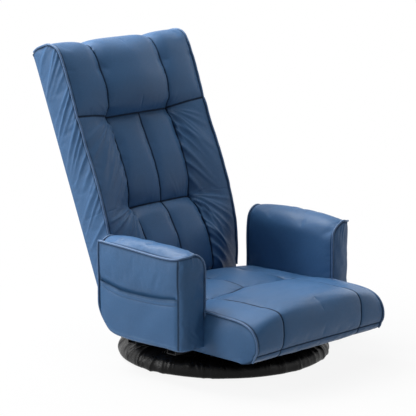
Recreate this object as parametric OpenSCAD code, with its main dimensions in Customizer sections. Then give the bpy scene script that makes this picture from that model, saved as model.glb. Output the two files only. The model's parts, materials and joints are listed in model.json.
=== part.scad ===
// Swivel floor chair: a padded seat, a reclining back and two arms on a round base that turns.
// The origin is the swivel axis where it meets the floor, the chair faces -Y and +Z is up.

/* [Seat] */
// Width of the seat over its side seams
seat_w = 474; // [460:1:500]
// Reach of the seat in front of the swivel axis
seat_front = 354; // [345:1:365]
// Reach of the seat behind the swivel axis
seat_rear = 165; // [160:1:166]
// Height of the seat cushion's lower edge
seat_bottom = 74; // [72:0.5:78]
// Height of the seat's highest line
seat_crest = 209; // [200:1:216]
// Reach of the rounded front of the seat
nose_reach = 54; // [40:1:64]
// Height of the widest line of the rounded front
nose_h = 135; // [125:1:145]
// Depth of the sewn lines in the seat
seat_seam_depth = 7; // [3:0.5:10]
// Depth of the sewn line across the seat
seat_tuft_depth = 10; // [4:0.5:14]
// Distance of the cross line in front of the swivel axis
seat_tuft_y = 90; // [80:1:100]

/* [Back] */
// Gap between the back and each arm
back_clear = 6; // [4:0.5:12]
// Length of the back above the recline axis, measured along it
back_len = 731; // [700:1:760]
// Depth of the back in front of its frame
back_depth = 100; // [90:1:104]
// Depth of the back behind the middle of its frame
back_rear = 14.3; // [14:0.1:18]
// Lean of the back from upright
back_lean = 22.3; // [20:0.1:25]
// Height of the lower end of the back cushion above the recline axis
back_foot = 42; // [40:1:48]
// Depth of the sewn lines in the back
back_seam_depth = 9; // [4:0.5:12]
// Rise of the rounded top of the back at its sides
back_top_rise = 28; // [24:1:34]
// Thickness of the rear panel
panel_t = 2; // [1:0.5:3]

/* [Arms] */
// Width of an arm
arm_w = 77; // [75:1:80]
// Gap between the seat and each arm
arm_clear = 1; // [1:0.5:3]
// Reach of the arms in front of the swivel axis
arm_front = 167; // [160:1:172]
// Reach of the arms behind the swivel axis
arm_rear = 140; // [136:1:144]
// Height of the arms' highest line
arm_top = 350; // [335:1:360]
// Height of the arms' lower edge
arm_bottom = 88; // [84:1:92]
// Depth of the rounded top of an arm
arm_roll = 46; // [36:1:54]
// Radius of an arm's rounded edges
arm_edge = 12; // [8:0.5:14]
// Height of the pocket's mouth
pocket_h = 215; // [205:1:222]
// Depth of the space inside the pocket
pocket_gap = 6; // [5:0.5:8]
// Thickness of the pocket's panel
pocket_t = 1.5; // [1:0.1:2]

/* [Base] */
// Width of the base over its cover
base_d = 554; // [540:1:564]
// Height of the base's widest line
base_wide_h = 12; // [11:0.5:14]
// Height of the base's padded edge
base_rim_h = 49; // [46:0.5:50]
// Height of the cover where it meets the pedestal
base_collar_h = 54; // [53.5:0.5:55]
// Thickness of the base cover
cover_t = 1.4; // [1:0.1:2]
// Depth of the padding round the board
padding_w = 15; // [12:1:20]
// Thickness of the round board
board_t = 15; // [12:0.5:18]
// Thickness of the felt under the board
felt_t = 4; // [3.5:0.1:5]
// Distance of the felt's edge inside the board's edge
felt_in = 24; // [22:1:32]

/* [Swivel] */
// Width of the pedestal's flat top
pedestal_d = 200; // [196:1:204]
// Height of the pedestal's flat top above the floor
pedestal_h = 50; // [49:0.5:51]
// Thickness of the pedestal's foot
flange_t = 8; // [6:0.5:10]
// Thickness of both race plates
sheet_t = 2.5; // [2:0.1:3]
// Width across the ring of balls
race_d = 160; // [150:1:164]
// Width of a ball
ball_d = 6; // [5.5:0.1:6.5]
// Number of balls
ball_count = 24; // [16:1:28]
// Depth of the groove in each race plate
groove_depth = 1; // [0.6:0.1:1.2]
// Width of the swivel pin
swivel_pin_d = 16; // [12:0.5:20]
// Side of the square upper race plate
top_plate_w = 186; // [184:1:190]

/* [Frame] */
// Width of the round steel tubes
tube_d = 19; // [18:0.5:20]
// Wall of the round steel tubes
tube_wall = 1.2; // [1:0.1:2]
// Distance of the side tubes inside the seat's edge
seat_tube_in = 42; // [41:0.5:43]
// Height of the flat bars under the seat
bar_h = 12; // [11:0.5:13]
// Breadth of the flat bars under the seat
bar_w = 30; // [28:1:32]
// Wall of the flat bars
bar_wall = 1.5; // [1:0.1:2]
// Distance from the swivel axis to each flat bar
bar_y = 72; // [70:0.5:74]
// Distance of the front tube inside the seat's front edge
front_tube_in = 64; // [60:1:74]
// Distance of the rear tube inside the seat's rear edge
rear_tube_in = 27; // [25:1:35]
// Width of a webbing strap
strap_w = 50; // [40:1:56]
// Thickness of a webbing strap
strap_t = 2; // [1.5:0.1:2.2]
// Thickness of the arms' inner board
arm_board_t = 12; // [10:0.5:14]
// Thickness of the steel uprights in the arms
upright_t = 5; // [4:0.5:6]
// Breadth of the steel uprights in the arms
upright_w = 66; // [60:1:70]
// Height of the steel uprights' upper ends
upright_top = 200; // [190:1:210]

/* [Recline] */
// Distance of the recline axis behind the seat's rear edge
hinge_set = 25; // [23:0.5:26]
// Height of the recline axis
hinge_h = 104; // [103:0.5:106]
// Thickness of the hinge plates
hinge_t = 4; // [3:0.5:4.5]
// Gap between the two plates of a hinge
hinge_gap = 1; // [0.6:0.1:1.2]
// Width of the hinge pins
hinge_pin_d = 12; // [10:0.5:13]
// Width of the toothed wheels over their teeth
wheel_d = 44; // [42:0.5:46]
// Thickness of the toothed wheels and the pawls
wheel_t = 6; // [5:0.5:6]
// Number of teeth on a full wheel
teeth = 72; // [60:12:72]
// Depth of a tooth
tooth_depth = 1.6; // [1.2:0.1:1.8]
// Swing of a pawl from lifted to seated
pawl_swing = 4; // [3.5:0.1:4.2]

/* [Fits] */
// Gap between soft pieces and what they lie against
soft_gap = 0.3; // [0.3:0.05:0.5]
// Running clearance on a radius
run_gap = 0.05; // [0.03:0.01:0.08]
// Gap between the balls and their cage
cage_gap = 0.2; // [0.15:0.05:0.3]

/* [Hidden] */
$fn = 96;

// One overrun for every cut
over = 1;

// Widths, from the seat outwards and inwards
arms_gap = seat_w + 2 * arm_clear;
arms_w = arms_gap + 2 * arm_w;
back_w = arms_gap - 2 * back_clear;
seat_tube_x = seat_w / 2 - seat_tube_in;
back_tube_x = seat_tube_x - hinge_t - hinge_gap;
board_d = base_d - 2 * padding_w;
felt_d = board_d - 2 * felt_in;

// Places of the frame along the chair
front_tube_y = seat_front - front_tube_in;
rear_tube_y = seat_rear - rear_tube_in;
hinge_y = seat_rear + hinge_set;

// Places of the long sewn lines, as shares of half a width
seat_seam_share = 0.616;
back_seam_share = 0.478;
seat_seam_x = seat_seam_share * seat_w / 2;
back_seam_x = back_seam_share * back_w / 2;

// Heights of the base, from the floor up
board_top = felt_t + board_t;
race_low = pedestal_h;
race_low_top = race_low + sheet_t;
ball_h = race_low_top - groove_depth + run_gap + ball_d / 2;
race_high = ball_h + ball_d / 2 + run_gap - groove_depth;
bar_low = race_high + sheet_t;
bar_top = bar_low + bar_h;
tube_h = bar_top + tube_d / 2;
tube_top = bar_top + tube_d;

// Sizes of the screws and bolts
screw_d = 5;
screw_head_d = 8;
screw_head_h = 1.3;
screw_len = 10;
bolt_d = 6;
bolt_head_d = 13;
bolt_head_h = 4;
flange_w = 25;
pedestal_foot_d = pedestal_d + 2 * flange_w;
pin_head_d = 28;
pin_head_h = 3;
cage_t = 1.5;
race_screw_in = 6.75;
plate_bolt_x = top_plate_w / 2 - bolt_head_d;
race_screw_r = pedestal_d / 2 - race_screw_in;
foot_screw_r = pedestal_d / 2 + flange_w / 2;

// Sizes of the base cover's edge
cover_in_r = base_d / 2 - base_rim_h;
collar_r = pedestal_d / 2 + flange_w / 4;
hem_w = 20;
hem_h = felt_t - cover_t - soft_gap;

// Sizes of the seat's underside and its frame
pocket_side = seat_tube_x + tube_d / 2 + hinge_t + hinge_t;
pocket_front = front_tube_y + tube_d + strap_t;
pocket_rear = rear_tube_y + tube_d / 2 + 3 * strap_t;
pocket_top = tube_top + strap_t + 2 * soft_gap;
tube_front_end = front_tube_y + tube_d / 2;
wheel_lap = 2;
tube_rear_end = hinge_y - wheel_d / 2 + wheel_lap;
cloth_t = 1;
cloth_h = bar_top - cloth_t - soft_gap;
strap_pitch = 86;
strap_count = 4;
seat_edge_round = 6;

// Sizes inside the arms
arm_in = arms_gap / 2;
arm_out = arms_w / 2;
arm_len = arm_front + arm_rear;
arm_board_in = 25;
arm_board_end = 30;
arm_board_foot = 8;
arm_board_cap = 50;
board_x = arm_in + arm_board_in;
arm_board_front = arm_front - arm_board_end;
arm_board_rear = arm_rear - arm_board_end;
arm_board_low = arm_bottom + arm_board_foot;
arm_board_high = arm_top - arm_board_cap;
upright_x = board_x - upright_t;
arm_bolt_low = 128;
arm_bolt_high = 165;
pocket_front_in = 25;
pocket_rear_in = 12;
pocket_front_y = arm_front - pocket_front_in;
pocket_rear_y = arm_rear - pocket_rear_in;
pocket_rise = 16;
pocket_open = 22;
pocket_lip = 5;
pocket_sag = 10;

// Sizes of the recline hinges, from the middle of the chair outwards
seat_plate_x = seat_tube_x + tube_d / 2;
back_plate_x = back_tube_x + tube_d / 2;
wheel_x = back_plate_x - wheel_t;
hinge_eye_d = 40;
back_eye_d = 36;
back_plate_w = 16;
back_plate_len = 72;
hinge_head_d = 18;
hinge_head_h = 3;
hinge_plate_in = 2;
pawl_pivot_r = 34;
pawl_pivot_angle = -60;
pawl_len = 22.1;
pawl_pin_d = 6;
pawl_boss_d = 10;
nose_half = 0.7;
nose_len = 2.4;
pawl_bar = 3.5;
leaf_t = 0.8;
leaf_len = 16;
back_tube_start = 27;
back_tube_cap = 42;
back_tube_end = back_len - back_tube_cap;
lower_bar_at = 62;
frame_recess = tube_d / 2 + 3 * strap_t / 2;
recess_side = back_tube_x + tube_d / 2 + hinge_t + 2 * soft_gap;
recess_top = back_tube_end + tube_d / 2 + 3 * strap_t;
back_edge_round = 7;
back_tube_pitch = 78;

// Heights of the seat's side seam and of its crown, by distance from the axis.
// Each row is a share of the seat's front reach and shares of its highest line.
seat_side_shares = [
    [-0.95, 0.80], [-0.85, 0.845], [-0.62, 0.87], [-0.47, 0.88], [-0.26, 0.857],
    [-0.06, 0.842], [0.15, 0.833], [0.38, 0.80], [0.48, 0.66]
];
seat_crown_shares = [
    [-0.95, 0.94], [-0.85, 0.975], [-0.66, 1], [-0.47, 0.985], [-0.33, 0.96], [-0.26, 0.945],
    [-0.18, 0.95], [-0.06, 0.955], [0.1, 0.94], [0.33, 0.91], [0.38, 0.88], [0.48, 0.70]
];
// Places of the points along the seat's top, as shares of its front reach
seat_top_shares = [
    0.36, 0.28, 0.18, 0.05, -0.08, -0.18, -0.23, -0.254, -0.28, -0.34, -0.44, -0.54, -0.66, -0.76
];
// Places of the seat's rings, as shares of half its width
seat_ring_shares = [
    -1, -0.988, -0.965, -0.92, -0.82, -0.71, -0.616, -0.53, -0.31, -0.08,
    0, 0.08, 0.31, 0.53, 0.616, 0.71, 0.82, 0.92, 0.965, 0.988, 1
];
// Squareness of the rounded front, and how far it draws in at the sides
nose_power_share = 0.75;
nose_taper_share = 0.1;
// Where the seat's top starts to round at the rear, and the place of its rear edge
seat_round_share = 0.3;
seat_lip_share = 0.93;
seat_lip_height_share = 1.15;
// Depth of the cross line outside the long lines
seat_tuft_outer_share = 0.4;

// Depth of the back at its sides and down its middle, in front of its frame.
// Each row is a share of the back's length and a share of its depth.
back_side_shares = [
    [0.057, 0.22], [0.073, 0.34], [0.123, 0.57], [0.167, 0.66], [0.282, 0.88], [0.366, 0.93],
    [0.493, 0.95], [0.626, 0.93], [0.736, 0.92], [0.829, 0.95], [0.92, 0.98], [0.96, 0.95]
];
back_middle_shares = [
    [0.057, 0.5], [0.087, 0.78], [0.12, 0.89], [0.167, 0.94], [0.208, 0.97], [0.26, 0.94],
    [0.315, 0.88], [0.362, 0.80], [0.416, 0.84], [0.511, 0.88], [0.607, 0.84], [0.693, 0.83],
    [0.74, 1.02], [0.805, 1.14], [0.9, 1.09], [0.96, 0.98]
];
// How late the back's depth falls from its middle to its sides, and the rise of its top's middle
back_side_power_share = 1.6;
back_crown_share = 0.12;
// Places of the two sewn lines across the back, as shares of its length
back_tuft_shares = [0.362, 0.693];
// Places of the points up the back's front, as shares of its length
back_front_shares = [
    0.057, 0.09, 0.123, 0.167, 0.22, 0.282, 0.33, 0.35, 0.362, 0.374, 0.40, 0.45, 0.511,
    0.57, 0.63, 0.675, 0.693, 0.711, 0.74, 0.79, 0.85, 0.91, 0.955
];
// Places of the back's rings, as shares of half its width
back_ring_shares = [
    -1, -0.985, -0.96, -0.9, -0.75, -0.6, -0.525, -0.478, -0.43, -0.35, -0.22, -0.08,
    0, 0.08, 0.22, 0.35, 0.43, 0.478, 0.525, 0.6, 0.75, 0.9, 0.96, 0.985, 1
];
// Angles of the points round the back's top
back_top_angles = [30, 60, 90, 120, 150];

// How much an arm narrows for each step of its rounded ends
arm_narrow_share = 1.5;
// How far the middle of a pocket's mouth dips
pocket_dip_share = 0.5;
// Outline of the pawl, as shares of its boss and of its nose
pawl_heel_share = 0.45;
pawl_flank_share = 0.9;
// Outline of an arm's rounded top: shares of its width, and of the depth of the round
arm_roll_shares = [
    [0, -1.1], [0.015, -0.75], [0.08, -0.4], [0.2, -0.16], [0.36, -0.02], [0.52, 0],
    [0.7, -0.09], [0.86, -0.28], [0.97, -0.52], [1, -0.72]
];
// Height of an arm's top and lower edge along it: shares of its length from the front,
// of its height and of its height again
arm_line_shares = [
    [0, -0.05, 0.03], [0.012, -0.045, 0.012], [0.04, -0.04, 0], [0.12, -0.022, 0], [0.3, -0.004, 0],
    [0.5, 0, 0], [0.7, -0.006, 0], [0.82, -0.02, 0.01], [0.9, -0.03, 0.05], [0.955, -0.04, 0.11],
    [0.985, -0.05, 0.18], [1, -0.06, 0.26]
];

// A closed skin over rings that each have as many points
module skin(rings) {
    n = len(rings[0]);
    m = len(rings);
    ends = [0, m - 1];
    middles = [for (e = ends) [for (k = [0 : 2]) mean([for (p = rings[e]) p[k]])]];
    points = concat([for (ring = rings) each ring], middles);
    sides = [for (i = [0 : m - 2], j = [0 : n - 1])
        let (a = i * n + j, b = i * n + (j + 1) % n, c = a + n, d = b + n)
        each [[a, d, b], [a, c, d]]];
    first = [for (j = [0 : n - 1]) [m * n, j, (j + 1) % n]];
    last = [for (j = [0 : n - 1]) [m * n + 1, (m - 1) * n + (j + 1) % n, (m - 1) * n + j]];
    polyhedron(points, concat(sides, first, last));
}

function mean(values) = total(values) / len(values);
function total(values, i = 0) = i == len(values) ? 0 : values[i] + total(values, i + 1);
function power(v, p) = sign(v) * pow(abs(v), p);
function rotated(p, a) = [p[0] * cos(a) - p[1] * sin(a), p[0] * sin(a) + p[1] * cos(a)];
function groove(distance, reach) = max(0, 1 - abs(distance) / reach);
// How far a ring near an end is drawn in, to round the edge
function drawn_in(from_end, round) =
    from_end >= round ? 0 : round - sqrt(pow(round, 2) - pow(round - from_end, 2));

// A round tube between two distances along Z
module tube(from, to, d = tube_d, wall = tube_wall) {
    translate([0, 0, from]) difference() {
        cylinder(d = d, h = to - from);
        translate([0, 0, -over]) cylinder(d = d - 2 * wall, h = to - from + 2 * over);
    }
}

// Turns a shape drawn in (Y, Z) into a plate along X
module plate_x(from, thick) {
    translate([from, 0, 0]) rotate([90, 0, 90]) linear_extrude(thick) children();
}

// A rod along X
module rod_x(from, to, d) {
    translate([from, 0, 0]) rotate([0, 90, 0]) cylinder(d = d, h = to - from);
}

// Places a piece on one side of the chair: 1 is the right as seen from the front, -1 the left
module on_side(side) {
    if (side > 0) children();
    else mirror([1, 0, 0]) children();
}

// Places a piece that is drawn up the leaning back, from the recline axis
module on_back() {
    translate([0, hinge_y, hinge_h]) rotate([-back_lean, 0, 0]) children();
}

// Outline of the base cover's side, inset by a distance
function cover_line(inset) = concat(
    [for (a = [-90 : 15 : -15])
        [board_d / 2 + (base_d / 2 - inset - board_d / 2) * cos(a),
         base_wide_h + (base_wide_h - hem_h - inset) * sin(a)]],
    [for (a = [0 : 10 : 90])
        [cover_in_r + (base_d / 2 - inset - cover_in_r) * cos(a),
         base_wide_h + (base_rim_h - base_wide_h - inset) * power(sin(a), nose_power_share)]],
    [[collar_r, base_collar_h - inset]]
);

module floor_felt() {
    color("#1c1c1e") cylinder(d = felt_d, h = felt_t);
}

module base_board() {
    color("#b08d5f") translate([0, 0, felt_t]) cylinder(d = board_d, h = board_t);
}

// Foam round the board's edge and over it, up to the pedestal
module base_padding() {
    inset = cover_t + soft_gap;
    color("#d9d3c4") difference() {
        rotate_extrude() polygon(concat(
            cover_line(inset), [[collar_r, board_top]],
            [[board_d / 2 - hem_w, board_top], [board_d / 2 - hem_w, hem_h + inset]]
        ));
        translate([0, 0, -over])
            cylinder(d = board_d + 2 * soft_gap, h = board_top + over + soft_gap);
        cylinder(d = pedestal_foot_d + 2 * soft_gap,
            h = board_top + flange_t + screw_head_h + soft_gap);
    }
}

module base_cover() {
    color("#131314") rotate_extrude() polygon(concat(
        [[board_d / 2 - hem_w, hem_h]], cover_line(0),
        [for (i = [len(cover_line(cover_t)) - 1 : -1 : 0]) cover_line(cover_t)[i]],
        [[board_d / 2 - hem_w, hem_h + cover_t]]
    ));
}

module pedestal() {
    top_r = pedestal_d / 2;
    foot_r = pedestal_foot_d / 2;
    color("#a98a5e") difference() {
        rotate_extrude() polygon([
            [0, pedestal_h], [top_r, pedestal_h], [top_r, board_top + flange_t],
            [foot_r, board_top + flange_t], [foot_r, board_top], [0, board_top]
        ]);
        at_ring_of_four(race_screw_r) cylinder(d = screw_d, h = pedestal_h + over);
        at_ring_of_four(foot_screw_r) cylinder(d = screw_d, h = pedestal_h + over);
    }
}

module at_ring_of_four(r) {
    for (a = [45 : 90 : 315]) rotate([0, 0, a]) translate([r, 0, 0]) children();
}

// A flat-headed screw with its head above z = 0
module screw(len) {
    cylinder(d = screw_head_d, h = screw_head_h);
    translate([0, 0, -len]) cylinder(d = screw_d, h = len + screw_head_h);
}

module pedestal_screws() {
    color("#a9abad") at_ring_of_four(foot_screw_r)
        translate([0, 0, board_top + flange_t]) screw(flange_t);
}

// A race plate's round groove, as a ring to cut away
module groove_ring(h) {
    rotate_extrude() translate([race_d / 2, h]) circle(d = ball_d + 2 * run_gap);
}

module lower_race_plate() {
    color("#9c9ea1") difference() {
        translate([0, 0, race_low]) cylinder(d = pedestal_d, h = sheet_t);
        groove_ring(ball_h);
        at_ring_of_four(race_screw_r) cylinder(d = screw_d, h = race_low_top + over);
    }
}

module race_plate_screws() {
    color("#a9abad") at_ring_of_four(race_screw_r)
        translate([0, 0, race_low_top]) screw(screw_len);
}

// The pin stands on the lower plate and its head holds the upper plate down
module swivel_pin() {
    color("#b9bbbd") {
        translate([0, 0, race_low_top])
            cylinder(d = swivel_pin_d, h = bar_low + run_gap - race_low_top);
        translate([0, 0, bar_low + run_gap]) cylinder(d = pin_head_d, h = pin_head_h);
    }
}

module ball_cage() {
    high = cage_t + 2 * over;
    color("#c9b26b") translate([0, 0, ball_h - cage_t / 2]) difference() {
        cylinder(d = pedestal_d - 2 * screw_head_d - 2 * cage_t, h = cage_t);
        translate([0, 0, -over]) cylinder(d = swivel_pin_d + 2 * cage_gap, h = high);
        for (i = [0 : ball_count - 1]) rotate([0, 0, i * 360 / ball_count])
            translate([race_d / 2, 0, -over]) cylinder(d = ball_d + 2 * cage_gap, h = high, $fn = 24);
    }
}

module bearing_balls() {
    color("#d5d7d9") for (i = [0 : ball_count - 1]) rotate([0, 0, i * 360 / ball_count])
        translate([race_d / 2, 0, ball_h]) sphere(d = ball_d, $fn = 24);
}

module upper_race_plate() {
    color("#9c9ea1") difference() {
        translate([-top_plate_w / 2, -top_plate_w / 2, race_high])
            cube([top_plate_w, top_plate_w, sheet_t]);
        groove_ring(ball_h);
        cylinder(d = swivel_pin_d + 2 * run_gap, h = bar_low + over);
        at_bar_bolts() cylinder(d = bolt_d, h = bar_low + over);
    }
}

module at_bar_bolts() {
    for (x = [-plate_bolt_x, plate_bolt_x], y = [-bar_y, bar_y]) translate([x, y, 0]) children();
}

// A flat steel bar across the chair, whose ends carry the arms
module seat_bar(y) {
    length = 2 * board_x;
    color("#2b2c2e") difference() {
        translate([-length / 2, y - bar_w / 2, bar_low]) cube([length, bar_w, bar_h]);
        translate([-length / 2 - over, y - bar_w / 2 + bar_wall, bar_low + bar_wall])
            cube([length + 2 * over, bar_w - 2 * bar_wall, bar_h - 2 * bar_wall]);
        at_bar_bolts() cylinder(d = bolt_d, h = bar_top + over);
    }
}

module bar_bolts() {
    color("#a9abad") at_bar_bolts() {
        translate([0, 0, bar_top]) cylinder(d = bolt_head_d, h = bolt_head_h, $fn = 6);
        translate([0, 0, race_high]) cylinder(d = bolt_d, h = bar_top - race_high + over);
    }
}

module seat_side_tube(side) {
    color("#2b2c2e") on_side(side) translate([seat_tube_x, 0, tube_h]) rotate([-90, 0, 0])
        tube(-tube_front_end, tube_rear_end);
}

module seat_cross_tube(y) {
    half = seat_tube_x - tube_d / 2;
    color("#2b2c2e") translate([0, y, tube_h]) rotate([0, 90, 0]) tube(-half, half);
}

// A flat strap whose ends go round two rods, drawn along Z over the -Y side of the rods
module strap(from, to) {
    loop_d = tube_d + 2 * soft_gap;
    translate([-strap_w / 2, -loop_d / 2 - strap_t, from]) cube([strap_w, strap_t, to - from]);
    for (z = [from, to]) translate([-strap_w / 2, 0, z]) rotate([0, 90, 0]) difference() {
        cylinder(d = loop_d + 2 * strap_t, h = strap_w);
        translate([0, 0, -over]) cylinder(d = loop_d, h = strap_w + 2 * over);
    }
}

module seat_webbing() {
    color("#4a4038") for (i = [0 : strap_count - 1])
        translate([(i - (strap_count - 1) / 2) * strap_pitch, 0, tube_h])
            rotate([-90, 0, 0]) strap(-front_tube_y, rear_tube_y);
}

// Thin cloth under the seat frame, in three widths that leave the flat bars free
module underside_cloth() {
    gap = bar_w / 2 + soft_gap;
    loop_r = tube_d / 2 + strap_t + 2 * soft_gap;
    lows = [-front_tube_y + loop_r, -bar_y + gap, bar_y + gap];
    highs = [-bar_y - gap, bar_y - gap, rear_tube_y - loop_r];
    side = seat_tube_x + tube_d / 2;
    color("#18181a") for (i = [0 : 2])
        translate([-side, lows[i], cloth_h]) cube([2 * side, highs[i] - lows[i], cloth_t]);
}

// Height of the seat's top at a place on it
function seat_z(x, y) =
    let (
        side = lookup(y / seat_front, seat_side_shares) * seat_crest,
        crown = lookup(y / seat_front, seat_crown_shares) * seat_crest,
        across = pow(abs(2 * x / seat_w), 3),
        rear = y > -seat_tuft_y ? 1 : 0,
        inner = abs(x) < seat_seam_x + seat_seam_depth ? 1 : seat_tuft_outer_share
    )
    side + (crown - side) * (1 - across)
        - seat_seam_depth * groove(abs(x) - seat_seam_x, 2 * seat_seam_depth)
        - rear * seat_seam_depth * groove(x, 2 * seat_seam_depth)
        - inner * seat_tuft_depth * groove(y + seat_tuft_y, 2 * seat_tuft_depth);

function seat_ring(share) =
    let (
        x = share * seat_w / 2,
        e = drawn_in(seat_w / 2 - abs(x), seat_edge_round),
        nose_y = nose_reach - seat_front,
        reach = nose_reach * (1 - nose_taper_share * pow(share, 4)) - e,
        crown = seat_z(x, nose_y) - e,
        low = seat_bottom + e
    )
    concat(
        [for (s = seat_top_shares)
            [x, s * seat_front - (s > seat_round_share ? e : 0), seat_z(x, s * seat_front) - e]],
        [for (a = [80 : -16 : -80]) let (s = power(sin(a), nose_power_share))
            [x, nose_y - reach * power(cos(a), nose_power_share),
             s > 0 ? nose_h + (crown - nose_h) * s : nose_h + (nose_h - low) * s]],
        [[x, nose_y, low], [x, 0, low], [x, seat_rear - e, low],
         [x, seat_rear - e, nose_h],
         [x, seat_rear * seat_lip_share - e, nose_h * seat_lip_height_share]]
    );

module seat_cushion() {
    color("#5d7fa6") difference() {
        skin([for (share = seat_ring_shares) seat_ring(share)]);
        translate([-pocket_side, -pocket_front, 0])
            cube([2 * pocket_side, pocket_front + pocket_rear, pocket_top]);
        for (side = [-1, 1]) on_side(side)
            translate([seat_tube_x - tube_d, pocket_rear - over, 0])
                cube([pocket_side - seat_tube_x + tube_d, seat_rear, pocket_top]);
    }
}

// Two steel flats welded on the bars' ends, one over each bar
module arm_upright(side) {
    color("#2b2c2e") on_side(side) difference() {
        for (y = [-bar_y, bar_y])
            translate([upright_x, y - upright_w / 2, bar_top])
                cube([upright_t, upright_w, upright_top - bar_top]);
        at_arm_bolts() rod_x(-over, arms_w, bolt_d);
    }
}

module at_arm_bolts() {
    for (y = [-bar_y, bar_y], z = [arm_bolt_low, arm_bolt_high]) translate([0, y, z]) children();
}

module arm_board(side) {
    color("#b08d5f") on_side(side) difference() {
        translate([board_x, -arm_board_front, arm_board_low])
            cube([arm_board_t, arm_board_front + arm_board_rear, arm_board_high - arm_board_low]);
        at_arm_bolts() rod_x(-over, arms_w, bolt_d);
    }
}

module arm_bolts() {
    color("#a9abad") for (side = [-1, 1]) on_side(side) at_arm_bolts() {
        rod_x(upright_x - bolt_head_h, upright_x, bolt_head_d);
        rod_x(upright_x - over, board_x + arm_board_t, bolt_d);
    }
}

// One ring of an arm, at a row of the line shares
function arm_ring(row) =
    let (
        height = arm_top - arm_bottom,
        y = -arm_front + row[0] * arm_len,
        e = drawn_in(min(row[0], 1 - row[0]) * arm_len, arm_edge),
        top = arm_top + row[1] * height - e,
        low = arm_bottom + row[2] * height + e / 2,
        left = arm_in + e / 2,
        wide = arm_w - arm_narrow_share * e,
        corner = arm_edge / 2
    )
    concat(
        [for (p = arm_roll_shares) [left + p[0] * wide, y, top + p[1] * arm_roll]],
        [[left + wide, y, (top + low) / 2], [left + wide, y, low + corner],
         [left + wide - corner, y, low], [left + wide / 2, y, low], [left + corner, y, low],
         [left, y, low + corner], [left, y, (top + low) / 2]]
    );

module arm_pad(side) {
    g = soft_gap;
    board_len = arm_board_front + arm_board_rear;
    board_high = arm_board_high - arm_board_low;
    color("#56789f") on_side(side) difference() {
        skin([for (row = arm_line_shares) arm_ring(row)]);
        translate([board_x - g, -arm_board_front - g, arm_board_low - g])
            cube([arm_board_t + 2 * g, board_len + 2 * g, board_high + 2 * g]);
        for (y = [-bar_y, bar_y])
            translate([upright_x - g, y - upright_w / 2 - g, 0])
                cube([upright_t + 2 * g, upright_w + 2 * g, upright_top + g]);
        at_arm_bolts() rod_x(0, board_x, bolt_head_d + 2 * g);
        plate_x(arm_out - pocket_t - pocket_gap, arm_w) polygon(pocket_outline(0, flat_mouth()));
        plate_x(arm_out - pocket_t - g, arm_w) polygon(pocket_outline(pocket_lip + g, flat_mouth()));
    }
}

// Outline of the pocket in (Y, Z), grown by a distance, under a given line of its mouth
function pocket_outline(grow, mouth) =
    let (
        height = arm_top - arm_bottom,
        rows = [for (row = arm_line_shares) if (row[0] * arm_len > arm_front - pocket_front_y
            && row[0] * arm_len < arm_front + pocket_rear_y) row],
        rise = arm_bottom + pocket_rise - grow,
        last = rows[len(rows) - 1][2] * height
    )
    concat(
        [[-pocket_front_y - grow, rise]],
        [for (row = rows) [-arm_front + row[0] * arm_len, rise + row[2] * height]],
        [[pocket_rear_y + grow, rise + last + pocket_lip]],
        mouth
    );

// The pad's hollow runs level above the panel's mouth
function flat_mouth() =
    let (high = pocket_h + pocket_open)
    [[pocket_rear_y + pocket_lip, high], [-pocket_front_y - pocket_lip, high]];

// The panel's mouth dips between its ends
function dipped_mouth() =
    let (front = pocket_front_y + pocket_lip, rear = pocket_rear_y + pocket_lip)
    [for (i = [0 : 8]) let (s = i / 8)
        [rear - s * (front + rear), pocket_h + pocket_sag * (pow(2 * s - 1, 2) - pocket_dip_share)]];

module arm_pocket(side) {
    color("#4c6f98") on_side(side) plate_x(arm_out - pocket_t, pocket_t)
        polygon(pocket_outline(pocket_lip, dipped_mouth()));
}

// Places on the hinge: the pawl's pivot, its nose when lifted and its nose when seated
axis_yz = [hinge_y, hinge_h];
pawl_yz = axis_yz + rotated([pawl_pivot_r, 0], pawl_pivot_angle);
nose_r = wheel_d / 2 + tooth_depth / 4;
pawl_reach_angle = acos((pow(pawl_pivot_r, 2) + pow(nose_r, 2) - pow(pawl_len, 2))
    / (2 * pawl_pivot_r * nose_r));
nose_yz = axis_yz + rotated([nose_r, 0], pawl_pivot_angle - pawl_reach_angle);
pawl_turn = atan2(nose_yz[1] - pawl_yz[1], nose_yz[0] - pawl_yz[0]);
seated_yz = pawl_yz + rotated([pawl_len, 0], pawl_turn - pawl_swing);
valley_angle = atan2(seated_yz[1] - hinge_h, seated_yz[0] - hinge_y);

// Draws a shape of (Y, Z) in the pawl's own place, with its length along the first axis
module at_pawl() {
    translate(pawl_yz) rotate(pawl_turn) children();
}

module hinge_seat_plate(side) {
    foot = pawl_yz - [0, pawl_boss_d];
    eye_r = hinge_eye_d / 2;
    front = tube_rear_end - 3 * tube_d;
    low = tube_h - tube_d / 2;
    high = tube_h + tube_d / 2 - hinge_plate_in;
    color("#55585b") on_side(side) {
        difference() {
            plate_x(seat_plate_x, hinge_t) {
                translate(axis_yz) circle(d = hinge_eye_d);
                polygon([
                    [front, low], [foot[0], low - pawl_boss_d / 2], [foot[0] + pawl_boss_d, pawl_yz[1]],
                    [hinge_y + eye_r, hinge_h], [hinge_y, hinge_h + eye_r], [tube_rear_end, high],
                    [front, high]
                ]);
            }
            translate([0, hinge_y, hinge_h]) rod_x(0, arms_w, hinge_pin_d);
        }
        translate([0, pawl_yz[0], pawl_yz[1]]) {
            rod_x(wheel_x - hinge_t / 2, seat_plate_x, pawl_pin_d);
            rod_x(wheel_x - hinge_t / 2 - hinge_head_h / 2, wheel_x - hinge_t / 2, pawl_boss_d);
        }
    }
}

// The pin is riveted in the seat's plate, and the back's plate turns on it
module hinge_pin(side) {
    inner = wheel_x - run_gap;
    color("#b9bbbd") on_side(side) translate([0, hinge_y, hinge_h]) {
        rod_x(inner, seat_plate_x + hinge_t, hinge_pin_d);
        rod_x(inner - hinge_head_h, inner, hinge_head_d);
        rod_x(seat_plate_x + hinge_t, seat_plate_x + hinge_t + hinge_head_h / 2, hinge_head_d);
    }
}

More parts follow.
